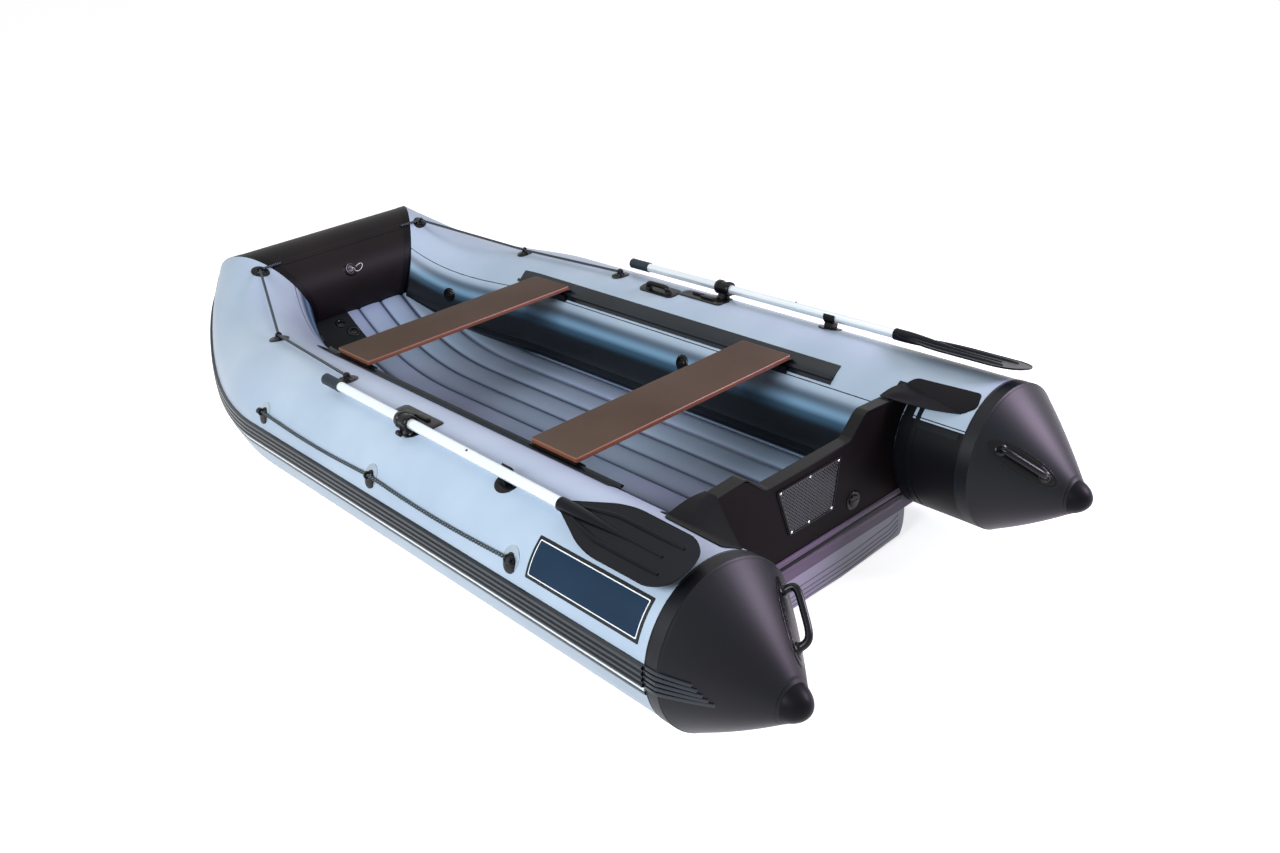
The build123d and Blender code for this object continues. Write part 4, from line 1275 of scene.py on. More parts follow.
# ---------------- the bottom
@dataclass
class Bottom:
    """The inflated hull, the lobed air floor, and the smooth panel with its two valves."""

    frame: BoatFrame
    keel: float = -0.272
    keel_half: float = 0.120
    chine: float = -0.258
    half: float = 0.406
    chine_round: float = 0.030
    floor_edge: float = -0.128
    floor_thick: float = 0.046
    lobes: int = 8
    crown: float = 0.014
    weld: float = 0.005
    nose: float = 0.060
    rise: float = 0.235
    bow: float = 2.400
    floor_start: float = 1.700
    floor_power: float = 2.6
    keel_start: float = 1.550
    keel_power: float = 2.6
    board: float = 0.032
    panel_from: float = 2.100
    panel_inner: float = 0.055
    floor_valves: tuple = ((2.252, 0.083, 0.026), (2.298, 0.108, 0.020))
    seam_heights: tuple = (0.012, 0.026, 0.040, 0.058)
    seam_reach: float = 0.372
    seam_r: float = 0.0016

    def climb(self, x: float, start: float, rise: float, power: float) -> float:
        """Return how far the bottom has risen at a station."""
        return rise * max(0.0, (x - start) / (self.bow - start)) ** power

    def floor_height(self, x: float) -> float:
        """Return the height of the lobes' crowns at a station."""
        return self.floor_edge + self.climb(x, self.floor_start, self.rise, self.floor_power)

    @property
    def floor_half(self) -> float:
        """Half the width of the floor between the tubes."""
        return LINE.offset - sqrt(LINE.radius ** 2 - self.floor_edge ** 2)

    def lobe(self, y: float) -> tuple[float, float]:
        """Return how far the floor lies under its crown at an offset, and how much painted shade darkens the
        weld valley there.

        Args:
            y: the offset.

        Returns:
            The depth, and the painted shade from 0 to 1.
        """
        pitch = 2 * self.floor_half / self.lobes
        off = abs((y + self.floor_half) / pitch % 1.0 - 0.5) * pitch
        flat = pitch / 2 - self.weld / 2
        share = min(1.0, off / flat)
        return self.crown * (1 - sqrt(max(0.0, 1 - share ** 2.4))), ease(off, flat - 0.005, flat + 0.001)

    def floor(self) -> None:
        """Build the air floor as one closed cushion."""
        bm = bmesh.new()
        bmesh.ops.create_grid(bm, x_segments=120, y_segments=self.lobes * 16, size=0.5)
        dusk = bm.verts.layers.float.new("dusk")
        length = self.bow - self.board
        for v in bm.verts:
            x = self.board + 0.0005 + length * (v.co.x + 0.5)
            y = 2 * (self.floor_half + 0.006) * v.co.y
            # The valleys between the lobes carry painted shade.
            down, v[dusk] = self.lobe(y)
            v.co = Vector((x, y, self.floor_height(x) - down))
        made = bmesh.ops.extrude_face_region(bm, geom=list(bm.faces), use_keep_orig=True)["geom"]
        for v in only(BMVert, made):
            v.co.z = self.floor_height(v.co.x) - self.floor_thick + 0.001
        piece = self.frame.piece(bm, "air_floor", Look.FLOOR, "floor_fabric", replaces=["floor"])

    def panel(self) -> None:
        """Build the smooth panel at the port bow."""
        bm = bmesh.new()
        bmesh.ops.create_grid(bm, x_segments=40, y_segments=12, size=0.5)
        outer = self.floor_half + 0.004
        for v in bm.verts:
            x = self.panel_from + (self.bow - self.panel_from) * (v.co.x + 0.5)
            y = self.panel_inner + (outer - self.panel_inner) * (v.co.y + 0.5)
            v.co = Vector((x, y, self.floor_height(x) + 0.002))
        bmesh.ops.solidify(bm, geom=everything(bm), thickness=0.003)
        self.frame.piece(bm, "floor_panel", Look.PANEL, "floor_fabric")

    def valve_rims(self) -> None:
        """Build the rims of the two valves on the panel."""
        bm = bmesh.new()
        for x, y, r in self.floor_valves:
            here, ahead = (Vector((s, y, self.floor_height(s) + 0.002)) for s in (x, x + 0.01))
            along = (ahead - here).normalized()
            profile = [(0, 0.0012), (r * 0.5, 0.001), (r * 0.56, 0.0005), (r * 0.6, 0.003),
                       (r * 0.74, 0.0048), (r * 0.92, 0.0045), (r, 0.003), (r * 1.04, -0.002), (0, -0.002)]
            turned(bm, profile, 40, matrix_of(here, along, TO_PORT, along.cross(TO_PORT)))
        self.frame.piece(bm, "floor_valve_rims", Look.PLASTIC, "valve_plastic", replaces=["floor_valves"])

    def hull_ring(self, x: float) -> list[Vector]:
        """Return the outline of the hull at a station.

        Args:
            x: the station.

        Returns:
            The points, once round.
        """
        top = self.floor_height(x) - self.floor_thick
        end = self.rise + self.floor_edge - self.floor_thick - self.nose - self.keel
        low = self.keel + self.climb(x, self.keel_start, end, self.keel_power)
        chine = low + self.chine - self.keel
        inner = self.half - self.chine_round
        port = [Vector((x, self.keel_half * k / 4, low)) for k in range(5)]
        port += [Vector((x, self.keel_half + (inner - self.keel_half) * k / 8, low + (chine - low) * k / 8))
                 for k in range(1, 9)]
        port += [Vector((x, inner + self.chine_round * sin(a), chine + (top - chine) * (1 - cos(a))))
                 for a in (pi / 2 * k / 10 for k in range(1, 11))]
        lid = [Vector((x, self.half * (1 - k / 4), top)) for k in range(1, 4)]
        half = port + lid + [Vector((x, 0, top))]
        return half + [Vector((p.x, -p.y, p.z)) for p in reversed(half[1:-1])]

    def hull(self) -> None:
        """Build the inflated hull as one closed form."""
        bm = bmesh.new()
        rows = steps(0.004, self.keel_start, 0.08) + steps(self.keel_start, self.bow, 0.03)[1:]
        aft = self.hull_ring(0.0)
        middle = Vector((0, 0, (self.keel + self.floor_edge) / 2))
        shy = [p + (middle - p).normalized() * 0.004 for p in aft]
        loft(bm, [shy] + [self.hull_ring(x) for x in rows])
        cap_holes(bm)
        piece = self.frame.piece(bm, "hull_chamber", Look.HULL, "hull_fabric", replaces=["hull"])

    def stern_seams(self) -> None:
        """Build the welded seams near the lower edge of the hull's aft face."""
        bm = bmesh.new()
        for up in self.seam_heights:
            path = []
            for y in steps(-self.seam_reach, self.seam_reach, 0.02):
                curl = 0.014 * ease(abs(y), 0.12, 0.38) + 0.02 * ease(abs(y), 0.33, 0.40)
                path.append(Vector((0.0005, y, self.keel + up + curl)))
            round_bar(bm, path, self.seam_r, 8)
        self.frame.piece(bm, "hull_end_seams", Look.LILAC_TAPE, "hull_fabric")

    def build(self) -> None:
        """Build the bottom."""
        self.hull()
        self.stern_seams()
        self.floor()
        self.panel()
        self.valve_rims()


# ---------------- transom
@dataclass
class Transom:
    """The plywood transom with its edge trim, motor pad and drain plug."""

    frame: BoatFrame
    thick: float = 0.032
    outline: tuple = ((-0.421, -0.112), (0.421, -0.112), (0.421, 0.181), (0.232, 0.192), (0.165, 0.132),
                      (-0.165, 0.132), (-0.232, 0.192), (-0.421, 0.181))
    soft_corner: float = 0.030
    pad_outline: tuple = ((-0.088, -0.036), (0.088, -0.036), (0.126, 0.109), (-0.126, 0.109))
    pad_middle: float = 0.0365
    cells: int = 52
    grid_half: float = 0.19
    whole_cell: float = 4e-5
    hole_wall: float = 0.0013
    screw_shift: float = 0.012
    drain: tuple = (-0.174, -0.049)
    drain_r: float = 0.028
    foot_long: float = 0.770

    def facing_aft(self, y: float, z: float, x: float = 0.0) -> Matrix:
        """Return a frame on the aft face, its z pointing aft and its y up."""
        return matrix_of(Vector((x, y, z)), -TO_PORT, UPWARD, -AHEAD)

    def board(self) -> None:
        """Build the board."""
        bm = bmesh.new()
        verts = [bm.verts.new((y, z, 0)) for y, z in self.outline]
        bm.faces.new(verts)
        notch = [v for v in verts if 0.16 < abs(v.co.x) < 0.24]
        soften(bm, notch, self.soft_corner, 8, "VERTICES")
        raise_face(bm, next(iter(bm.faces)), self.thick - 0.0004, 0.002)
        place = matrix_of(Vector((0.0002, 0, 0)), TO_PORT, UPWARD, AHEAD)
        bmesh.ops.transform(bm, matrix=place, verts=bm.verts)
        self.frame.piece(bm, "transom_board", Look.BOARD, "transom_ply", replaces=["transom"], sharp=25)

    def foot_tapes(self) -> None:
        """Build the tapes that seal the foot of the board to the hull."""
        for name, z, wide, finish in (("foot_tape_upper", -0.108, 0.012, Look.LILAC_TAPE),
                                      ("foot_tape_middle", -0.124, 0.012, Look.DARK_TAPE),
                                      ("foot_tape_lower", -0.141, 0.014, Look.LILAC_TAPE)):
            bm = bmesh.new()
            slab(bm, oblong(self.foot_long, wide), 0.002, 0.002, 0.0012)
            bmesh.ops.transform(bm, matrix=self.facing_aft(0, z, -0.0028), verts=bm.verts)
            self.frame.piece(bm, name, finish, "trim_rubber")

    def pad_base(self) -> None:
        """Build the plate under the perforated pad."""
        bm = bmesh.new()
        slab(bm, self.pad_outline, 0.0022, 0.007, 0.0006)
        bmesh.ops.transform(bm, matrix=self.facing_aft(0, 0), verts=bm.verts)
        self.frame.piece(bm, "motor_pad_base", Look.PLASTIC, "pad_plastic", replaces=["motor_pad"])

    def shrunk_pad(self, share: float) -> list[Vector]:
        """Return the pad's corners drawn towards its middle, to a share of their distance."""
        centre = Vector((0, self.pad_middle))
        return [centre.lerp(Vector(corner), share) for corner in self.pad_outline]

    def pad_mesh(self) -> None:
        """Build the perforated plate: a grid turned by 45 degrees, each whole square cut out."""
        bm = bmesh.new()
        bmesh.ops.create_grid(bm, x_segments=self.cells, y_segments=self.cells, size=self.grid_half)
        bmesh.ops.rotate(bm, cent=ORIGIN, matrix=Matrix.Rotation(pi / 4, 3, "Z"), verts=bm.verts)
        bmesh.ops.translate(bm, vec=(0, self.pad_middle, 0.0034), verts=bm.verts)
        inner = self.shrunk_pad(0.92)
        for here, ahead in zip(inner, inner[1:] + inner[:1]):
            way = (ahead - here).normalized()
            bmesh.ops.bisect_plane(bm, geom=everything(bm), plane_co=(here.x, here.y, 0),
                                   plane_no=(way.y, -way.x, 0), clear_outer=True)
        whole = [f for f in bm.faces if f.calc_area() > self.whole_cell]
        bmesh.ops.inset_individual(bm, faces=whole, thickness=self.hole_wall, depth=0.0,
                                   use_even_offset=True)
        bmesh.ops.delete(bm, geom=whole, context="FACES_ONLY")
        bmesh.ops.transform(bm, matrix=self.facing_aft(0, 0), verts=bm.verts)
        self.frame.piece(bm, "motor_pad_mesh", Look.MESH, "pad_plastic", sharp=20, outward=False)

    def pad_rim(self) -> None:
        """Build the raised rim of the pad: a bar along each edge and a ball at each corner."""
        bm = bmesh.new()
        rim = [Vector((*corner, 0.0032)) for corner in self.shrunk_pad(0.96)]
        for here, ahead in zip(rim, rim[1:] + rim[:1]):
            round_bar(bm, [here.lerp(ahead, k / 4) for k in range(5)], 0.0026, 8)
            ball = bmesh.ops.create_icosphere(bm, subdivisions=2, radius=0.0027)["verts"]
            bmesh.ops.translate(bm, vec=here, verts=ball)
        bmesh.ops.transform(bm, matrix=self.facing_aft(0, 0), verts=bm.verts)
        self.frame.piece(bm, "motor_pad_rim", Look.PLASTIC, "pad_plastic")

    def pad_screws(self) -> None:
        """Build the six screws: one at each corner, and one midway along the top and the foot."""
        low_left, low_right, high_right, high_left = (Vector(corner) for corner in self.pad_outline)
        inset = 0.007
        spots = self.shrunk_pad(0.9)
        spots.append(low_left.lerp(low_right, 0.5) + Vector((self.screw_shift, inset)))
        spots.append(high_left.lerp(high_right, 0.5) - Vector((0, inset)))
        head = [(0, 0.0022), (0.0012, 0.0022), (0.0026, 0.0016), (0.0038, 0), (0.0038, -0.001), (0, -0.001)]
        bm = bmesh.new()
        for spot in spots:
            turned(bm, head, 20, self.facing_aft(spot.x, spot.y, -0.0042))
        self.frame.piece(bm, "motor_pad_screws", Look.STEEL, "pad_plastic")

    def drain_plug(self) -> None:
        """Build the flanged drain plug with its grip bar."""
        r = self.drain_r
        bm = bmesh.new()
        profile = [(0, 0.0075), (r * 0.5, 0.0075), (r * 0.58, 0.007), (r * 0.62, 0.0055),
                   (r * 0.64, 0.003), (r * 0.78, 0.0028), (r * 0.9, 0.0034), (r, 0.0015), (r, 0), (0, 0)]
        turned(bm, profile, 48, self.facing_aft(*self.drain))
        bar = bmesh.new()
        slab(bar, oblong(r, 0.006), 0.0088, 0.002, 0.0008)
        join(bm, bar, self.facing_aft(*self.drain))
        self.frame.piece(bm, "drain_cap", Look.PLASTIC, "fitting_plastic", replaces=["drain_plug"])

    def build(self, frame: dict) -> None:
        """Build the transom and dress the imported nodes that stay.
        """
        self.board()
        self.foot_tapes()
        self.pad_base()
        self.pad_mesh()
        self.pad_rim()
        self.pad_screws()
        self.drain_plug()
        dress(frame, "transom_trim", Look.TRIM)
        dress(frame, "transom_sill", Look.LILAC_TAPE)


@dataclass
class Wing(Fitting):
    """The fabric gusset between a shoulder of the transom and the tube."""

    deg: float = 107.0
    corners: tuple = ((0.020, 111.0), (-0.184, 108.0), (-0.199, 121.5), (-0.166, 130.0), (0.040, 119.5))
    top: tuple = (0.336, 0.1905)

    def build(self) -> None:
        """Build the pad on the tube and the web that folds down to the corner of the board."""
        flat = [(x, radians(deg - self.deg) * LINE.radius) for x, deg in self.corners]
        bm = bmesh.new()
        patch(bm, 0.0, self.deg, lambda m: slab(m, flat, 0.0026, 0.012, 0.001), lift=0.0002)
        web = bmesh.new()
        bmesh.ops.create_grid(web, x_segments=24, y_segments=16, size=0.5)
        top = Vector((0, *self.top))
        for v in web.verts:
            s, t = v.co.x + 0.5, v.co.y + 0.5
            on_board = top + Vector((-0.003 + 0.038 * t, 0, 0.0055))
            on_tube = LINE.section(-0.166 + 0.206 * t).point(129.5 - 10.5 * t, 0.002)
            over = ease(t, 0.35, 0.75)
            crown = (0.007 * over - 0.006 * (1 - over)) * sin(pi * s)
            v.co = on_board.lerp(on_tube, s) + Vector((0, 0, crown))
        bmesh.ops.solidify(web, geom=everything(web), thickness=0.0018)
        join(bm, web)
        self.piece(bm, "wing", Look.BLACK, "wing_fabric", "transom_wing")


# ---------------- thwarts
@dataclass
class Thwart:
    """A film-faced plywood seat that slides on the tracks."""

    frame: BoatFrame
    name: str
    body: str
    corner: float = 0.008
    edge: float = 0.003

    def build(self, frame: dict) -> None:
        """Build the plank and dress its runners.
        """
        low, high = (Vector(c) - self.frame.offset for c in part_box(f"{self.name}_thwart"))
        bm = bmesh.new()
        middle = (low + high) / 2
        outline = [(low.x, low.y), (high.x, low.y), (high.x, high.y), (low.x, high.y)]
        slab(bm, outline, high.z - low.z, self.corner, at=low.z)
        rims = [e for e in bm.edges if abs(e.verts[0].co.z - e.verts[1].co.z) < 1e-6]
        soften(bm, rims, self.edge, 3)
        for f in bm.faces:
            f.material_index = 0 if abs(f.normal.z) > 0.95 and f.calc_area() > 0.01 else 1
        log.info("%s thwart is centred on station %.3f", self.name, middle.x)
        self.frame.piece(bm, f"{self.name}_seat_plank", (Look.SEAT, Look.EDGE), "thwart_ply", self.body,
                         [f"{self.name}_thwart"], sharp=50)
        dress(frame, f"{self.name}_thwart_runners", Look.PLASTIC)


# ---------------- oars
@dataclass
class Oar(Fitting):
    """A stowed oar: tube shaft with a push-button joint, grip, ribbed blade and clamp collar."""

    y: float = 0.630
    z: float = 0.235
    shaft_r: float = 0.015
    grip_r: float = 0.018
    grip: float = 0.095
    end: float = 1.377
    collar: float = 0.912
    collar_long: float = 0.060
    root: float = 0.190
    tip: float = -0.226
    half: float = 0.083
    wide_from: float = 0.045
    thick: float = 0.005
    droop: float = 0.010
    joint: float = 0.575
    button: float = 0.600
    grip_ribs: int = 9
    grip_pitch: float = 0.0082
    corner_radii: tuple = (0.050, 0.040, 0.022, 0.022, 0.040, 0.050)
    rim_wide: float = 0.006
    recess: float = 0.0016
    bolt_way: tuple = (-0.10, 0.80, -0.59)

    @property
    def body(self) -> str:
        """The CAD body of this oar."""
        return self.side.prefix + "oar"

    @property
    def lean(self) -> Vector:
        """Direction square to the tube under the oar."""
        return Vector((0, self.y - LINE.offset, self.z)).normalized()

    def flat(self, x: float = 0.0) -> Matrix:
        """Return a frame in the blade's plane at a station: x along the shaft, z square to the tube.

        Args:
            x: the station.

        Returns:
            The frame.
        """
        along = AHEAD - self.lean.cross(AHEAD) * self.droop
        across = self.lean.cross(along).normalized()
        along.normalize()
        at = Vector((self.collar, self.y, self.z)) + along * (x - self.collar)
        return matrix_of(at, along, across, self.lean)

    def lying(self, x: float) -> Matrix:
        """Return a frame on the shaft with its z forward."""
        return self.flat(x) @ matrix_of(ORIGIN, TO_PORT, UPWARD, AHEAD)

    def shaft(self) -> None:
        """Build the two-part aluminium shaft."""
        r, start = self.shaft_r, self.root - 0.040
        stop = self.end - self.grip
        bm = bmesh.new()
        at = self.joint - start
        turned(bm, [(0, 0), (r, 0), (r, at - 0.001), (r - 0.0008, at), (r - 0.0008, at + 0.0016),
                    (r, at + 0.0026), (r, stop - start), (0, stop - start)], 48, self.lying(start))
        self.piece(bm, "shaft_tube", Look.SHAFT, "oar_aluminium", "oar_shaft", self.body,
                   sharp=30)
        bm = bmesh.new()
        push = [(0, 0.0024), (0.0022, 0.0022), (0.0034, 0.001), (0.0036, -0.001), (0, -0.001)]
        turned(bm, push, 20, self.flat(self.button) @ Matrix.Translation((0, 0, r)))
        self.piece(bm, "shaft_button", Look.PLASTIC, "oar_aluminium", body=self.body)

    def handle(self) -> None:
        """Build the rubber grip."""
        r, long = self.grip_r, self.grip
        profile = [(0, 0), (r - 0.002, 0), (r, 0.002), (r, 0.007), (r - 0.0016, 0.009)]
        for k in range(self.grip_ribs):
            at = 0.012 + k * self.grip_pitch
            profile += [(r - 0.0016, at), (r - 0.0004, at + 0.0022), (r - 0.0004, at + 0.0044),
                        (r - 0.0016, at + 0.0066)]
        profile += [(r - 0.0012, long - 0.006), (r, long - 0.004), (r - 0.002, long - 0.0008),
                    (r - 0.006, long), (0, long)]
        bm = bmesh.new()
        turned(bm, profile, 40, self.lying(self.end - long))
        self.piece(bm, "grip_sleeve", Look.GRIP, "grip_rubber", "oar_grip", self.body)

    def blade(self) -> None:
        """Build the blade with its rim, its spine and its two ribs."""
        bm = bmesh.new()
        self.plate(bm)
        root, tip = self.root, self.tip
        spine = [Vector((x, 0, 0)) for x in steps(root + 0.020, tip + 0.080, 0.02)]
        round_bar(bm, spine, lambda s: 0.018 - 0.0145 * ease(s, 0.08, 0.80), 24)
        for way in (1, -1):
            bend = ((0.150, 0.018), (0.120, 0.025), (0.080, 0.034), (0.045, 0.0405))
            rib = [Vector((x, way * y, 0)) for x, y in bend]
            rib += [Vector((x, way * 0.042, 0)) for x in steps(0.030, tip + 0.052, 0.03)]
            round_bar(bm, rib, lambda s: 0.0038 + 0.0030 * sin(pi * min(1, max(0, s))) ** 0.5, 12)
        bmesh.ops.transform(bm, matrix=self.flat(), verts=bm.verts)
        self.piece(bm, "ribbed_blade", Look.BLADE, "blade_plastic", "oar_blade", self.body,
                   sharp=28)

    def plate(self, bm: BMesh) -> None:
        """Make the flat of the blade, its corners rounded and both faces sunk inside a rim.

        Args:
            bm: the mesh that it goes into.
        """
        root, half, tip = self.root + 0.004, self.half, self.tip
        port_edge = [(root, 0.018), (self.wide_from, half), (tip + 0.03, half - 0.003), (tip, 0.030)]
        outline = port_edge + [(x, -y) for x, y in reversed(port_edge)]
        verts = [bm.verts.new((x, y, -self.thick / 2)) for x, y in outline]
        bm.faces.new(verts)
        for v, radius in zip(verts[1:-1], self.corner_radii):
            soften(bm, [v], radius, 8, "VERTICES")
        bmesh.ops.inset_region(bm, faces=list(bm.faces), thickness=self.rim_wide, depth=0.0)
        whole = bmesh.ops.extrude_face_region(bm, geom=list(bm.faces), use_keep_orig=True)["geom"]
        bmesh.ops.translate(bm, vec=(0, 0, self.thick), verts=only(BMVert, whole))
        wide = [f for f in bm.faces if f.calc_area() > 0.02]
        bmesh.ops.inset_individual(bm, faces=wide, thickness=0.0015, depth=-self.recess)

    def clamp(self) -> None:
        """Build the collar that clamps the shaft, its pin and its wing nut."""
        r = self.shaft_r
        bm = bmesh.new()
        clasp = [(r, 0), (r + 0.007, 0), (r + 0.009, 0.003), (r + 0.009, 0.016), (r + 0.0065, 0.019)]
        clasp += [(radius, self.collar_long - at) for radius, at in reversed(clasp)]
        turned(bm, clasp, 40, self.lying(self.collar - self.collar_long / 2))
        pin = [(0, -0.002), (0.0088, -0.002), (0.0092, 0), (0.0092, 0.004), (0.014, 0.008),
               (0.014, 0.012), (0, 0.012)]
        turned(bm, pin, 32, self.flat(self.collar) @ Matrix.Translation((0, 0, -r - 0.013)))
        away = Vector(self.bolt_way).normalized()
        bolt = Vector((self.collar - 0.004, self.y, self.z)) + away * (r + 0.006)
        seat = matrix_of(bolt, AHEAD, away.cross(AHEAD), away)
        knob = [(0, -0.004), (0.012, -0.004), (0.012, 0.006), (0.005, 0.008), (0.005, 0.011),
                (0.0095, 0.0125), (0.0115, 0.016), (0.0115, 0.021), (0.0095, 0.0245), (0.005, 0.026),
                (0, 0.0262)]
        turned(bm, knob, 32, seat)
        lug = bmesh.new()
        slab(lug, oblong(0.052, 0.016), 0.009, 0.003, 0.002, at=-0.003)
        join(bm, lug, seat)
        self.piece(bm, "clamp_collar", Look.PLASTIC, "collar_plastic", "oar_collar", self.body)

    def build(self) -> None:
        """Build the oar."""
        self.shaft()
        self.handle()
        self.blade()
        self.clamp()


@dataclass
class OarSeats(Fitting):
    """The rowlock that an oar turns on and the clip that its shaft is stowed in."""

    oar: Oar
    base_run: float = 0.954
    base_deg: float = 87.0
    base_long: float = 0.200
    base_wide: float = 0.058
    ridges: tuple = ((0.930, 0.006, 0.062), (0.985, -0.004, 0.050))
    clip_run: float = 0.450
    clip_arc: tuple = (158, 276)
    clip_half: float = 0.020

    @property
    def post_deg(self) -> float:
        """Angle round the tube of the post under the collar."""
        return degrees(atan2(self.oar.z, self.oar.y - LINE.offset))

    def rowlock(self) -> None:
        """Build the base with its two ridges and the post."""
        bm = bmesh.new()
        patch(bm, self.base_run, self.base_deg,
              tile(self.base_long, self.base_wide, 0.0034, corner=0.014, edge=0.0014))
        for x, y, long in self.ridges:
            patch(bm, x, self.base_deg + degrees(y / LINE.radius),
                  tile(long, 0.014, 0.0085, corner=0.006, edge=0.003), lift=0.002)
        patch(bm, self.oar.collar, self.post_deg + 3, disc(0.085, 0.075, 0.0034, 0.0014))
        post = [(0, -0.004), (0.024, -0.004), (0.024, 0.003), (0.021, 0.006), (0.0195, 0.012),
                (0.018, 0.0165), (0.015, 0.0185), (0.0105, 0.0185), (0.0098, 0.017), (0, 0.017)]
        turned(bm, post, 40, LINE.section(self.oar.collar).seat(self.post_deg))
        self.piece(bm, "rowlock_base", Look.PLASTIC, "fitting_plastic", "rowlock")

    def clip(self) -> None:
        """Build the cradle that holds the stowed shaft."""
        inner, outer, half = self.oar.shaft_r + 0.0012, self.oar.shaft_r + 0.0065, self.clip_half
        bm = bmesh.new()
        patch(bm, self.clip_run, self.post_deg - 1, disc(0.078, 0.072, 0.003, 0.0014))
        arc = [radians(a) for a in steps(*self.clip_arc, 12)]
        section = [(outer * cos(a), outer * sin(a)) for a in arc]
        section += [(inner * cos(a), inner * sin(a)) for a in reversed(arc)]
        cradle = bmesh.new()
        loft(cradle, [[Vector((x, y, z)) for y, z in section] for x in steps(-half, half, half)])
        cap_holes(cradle)
        slab(cradle, oblong(half * 1.6, 0.032), 0.0165, 0.004, at=-0.035)
        join(bm, cradle, self.oar.flat(self.clip_run))
        self.piece(bm, "shaft_clip", Look.PLASTIC, "fitting_plastic", "oar_clip")

    def build(self) -> None:
        """Build the rowlock and the clip."""
        self.rowlock()
        self.clip()


# ---------------- ropes
@dataclass
class GrabLines(Fitting):
    """The taut grab ropes of one side and the moulded guides that hold them."""

    side_x: tuple = (0.294, 0.955, 1.615)
    side_deg: float = 28.0
    sag_deg: float = 2.5
    sink: float = 0.0045
    rope_r: float = 0.0047
    rise: float = 0.013
    over: float = 0.012
    upper_x: float = 1.372
    upper_deg: float = 90.0
    bend_t: float = 0.28
    bend_deg: float = 93.0
    corner_t: float = 0.955
    corner_deg: float = 102.0
    end_y: float = 0.262
    end_deg: float = 127.0
    pad_long: float = 0.060
    pad_wide: float = 0.068
    eye_r: float = 0.0085
    eye_bar_r: float = 0.0034
    # A braid of this size crosses about every 4 mm. It is drawn every 14 mm, half the lay, so that it shows.
    sides: int = 12
    strands: int = 3
    lay: float = 0.028
    pitch: float = 0.0028
    knot_turns: int = 3
    knot_long: float = 0.011
    knot_r: float = 0.0062

    def run_of(self, t: float) -> float:
        """Return the distance along the tube of a place t on the bend."""
        return LINE.bend_start + LINE.lengths[round(t * LINE.fine)]

    def guide(self, name: str, run: float, deg: float, vinyl: bool) -> None:
        """Build one guide: its oval pad, the moulded eye and the ring of the eye.

        Args:
            name: name of the piece, without its side.
            run: distance along the tube.
            deg: angle round the tube.
            vinyl: whether its pad is clear vinyl, as on the side rope.
        """
        pad = bmesh.new()
        patch(pad, run, deg, disc(self.pad_long, self.pad_wide, 0.0024, 0.001), pitch=0.005)
        self.piece(pad, f"{name}_pad", Look.CLEAR if vinyl else Look.PLASTIC, "fitting_plastic")
        bm = bmesh.new()
        patch(bm, run, deg - (3.5 if vinyl else 0),
              disc(self.pad_long * 0.8, self.pad_wide * 0.72, 0.004, 0.002), pitch=0.005)
        seat = LINE.section(run).seat(deg)
        eye = seat @ matrix_of(Vector((0, 0, self.rise)), TO_PORT, UPWARD, AHEAD)
        dome = bmesh.new()
        bmesh.ops.create_uvsphere(dome, u_segments=24, v_segments=14, radius=1.0)
        bmesh.ops.scale(dome, vec=(0.015, 0.017, 0.0125), verts=dome.verts)
        join(bm, dome, seat)
        ring = [(self.eye_r + self.eye_bar_r * cos(a), self.eye_bar_r * sin(a))
                for a in (2 * pi * k / 10 for k in range(11))]
        turned(bm, ring, 24, eye)
        self.piece(bm, f"{name}_eye", Look.PLASTIC, "fitting_plastic",
                   "side_guides" if vinyl else "upper_guides")

    def side_path(self) -> list[Vector]:
        """Return the line of the side rope, sagging a little between its guides.

        Returns:
            Points on its centre line.
        """
        points = []
        first, second, last = self.side_x
        for run in steps(first - self.over, last + self.over, 0.01):
            aft = second if run >= second else first
            share = min(1.0, max(0.0, (run - aft) / (second - first)))
            hang = sin(pi * share)
            deg = self.side_deg - self.sag_deg * hang
            points.append(LINE.section(run).point(deg, self.rise - self.sink * hang ** 0.4))
        return points

    def upper_path(self) -> list[Vector]:
        """Return the line of the upper rope, straight from guide to guide.

        Returns:
            Points on its centre line.
        """
        stops = [LINE.section(self.upper_x).point(self.upper_deg, self.rise),
                 LINE.on_bend(self.bend_t).point(self.bend_deg, self.rise),
                 LINE.on_bend(self.corner_t).point(self.corner_deg, self.rise),
                 LINE.bow_plain(self.end_y).point(self.end_deg, self.rope_r)]
        points = []
        for here, ahead in zip(stops, stops[1:]):
            points += [here.lerp(ahead, s) for s in steps(0, 1, 0.01 / (ahead - here).length)[:-1]]
        return points + [stops[-1]]

    def braid(self, bm: BMesh, path: Sequence[Vector]) -> None:
        """Sweep a braided cord along a path, its crossing strands standing out.

        Args:
            bm: the mesh that it goes into.
            path: points on the cord's centre line.
        """
        points = []
        for here, ahead in zip(path, path[1:]):
            points += [here.lerp(ahead, s) for s in steps(0, 1, self.pitch / (ahead - here).length)[:-1]]
        fleck = bm.verts.layers.float.get("fleck") or bm.verts.layers.float.new("fleck")
        turns = [2 * pi * n / self.sides for n in range(self.sides)]
        rings, side = [], UPWARD
        for k, point in enumerate(points):
            along = (points[min(k + 1, len(points) - 1)] - points[max(0, k - 1)]).normalized()
            side = (side - along * side.dot(along)).normalized()
            up = along.cross(side)
            rings.append([point + (side * cos(a) + up * sin(a)) * self.rope_r * self.swell(k, a)
                          for a in turns])
        loft(bm, rings)
        row, order = bm.verts.layers.int["row"], bm.verts.layers.int["order"]
        for v in bm.verts:
            v[fleck] = 0.75 * ease(self.crossing(v[row], turns[v[order]] + 0.6), 0.72, 0.95)
        cap_holes(bm)

    def swell(self, row: int, angle: float) -> float:
        """Return the share of the rope's radius that its skin has at a row and an angle."""
        return 0.9 + 0.16 * self.crossing(row, angle)

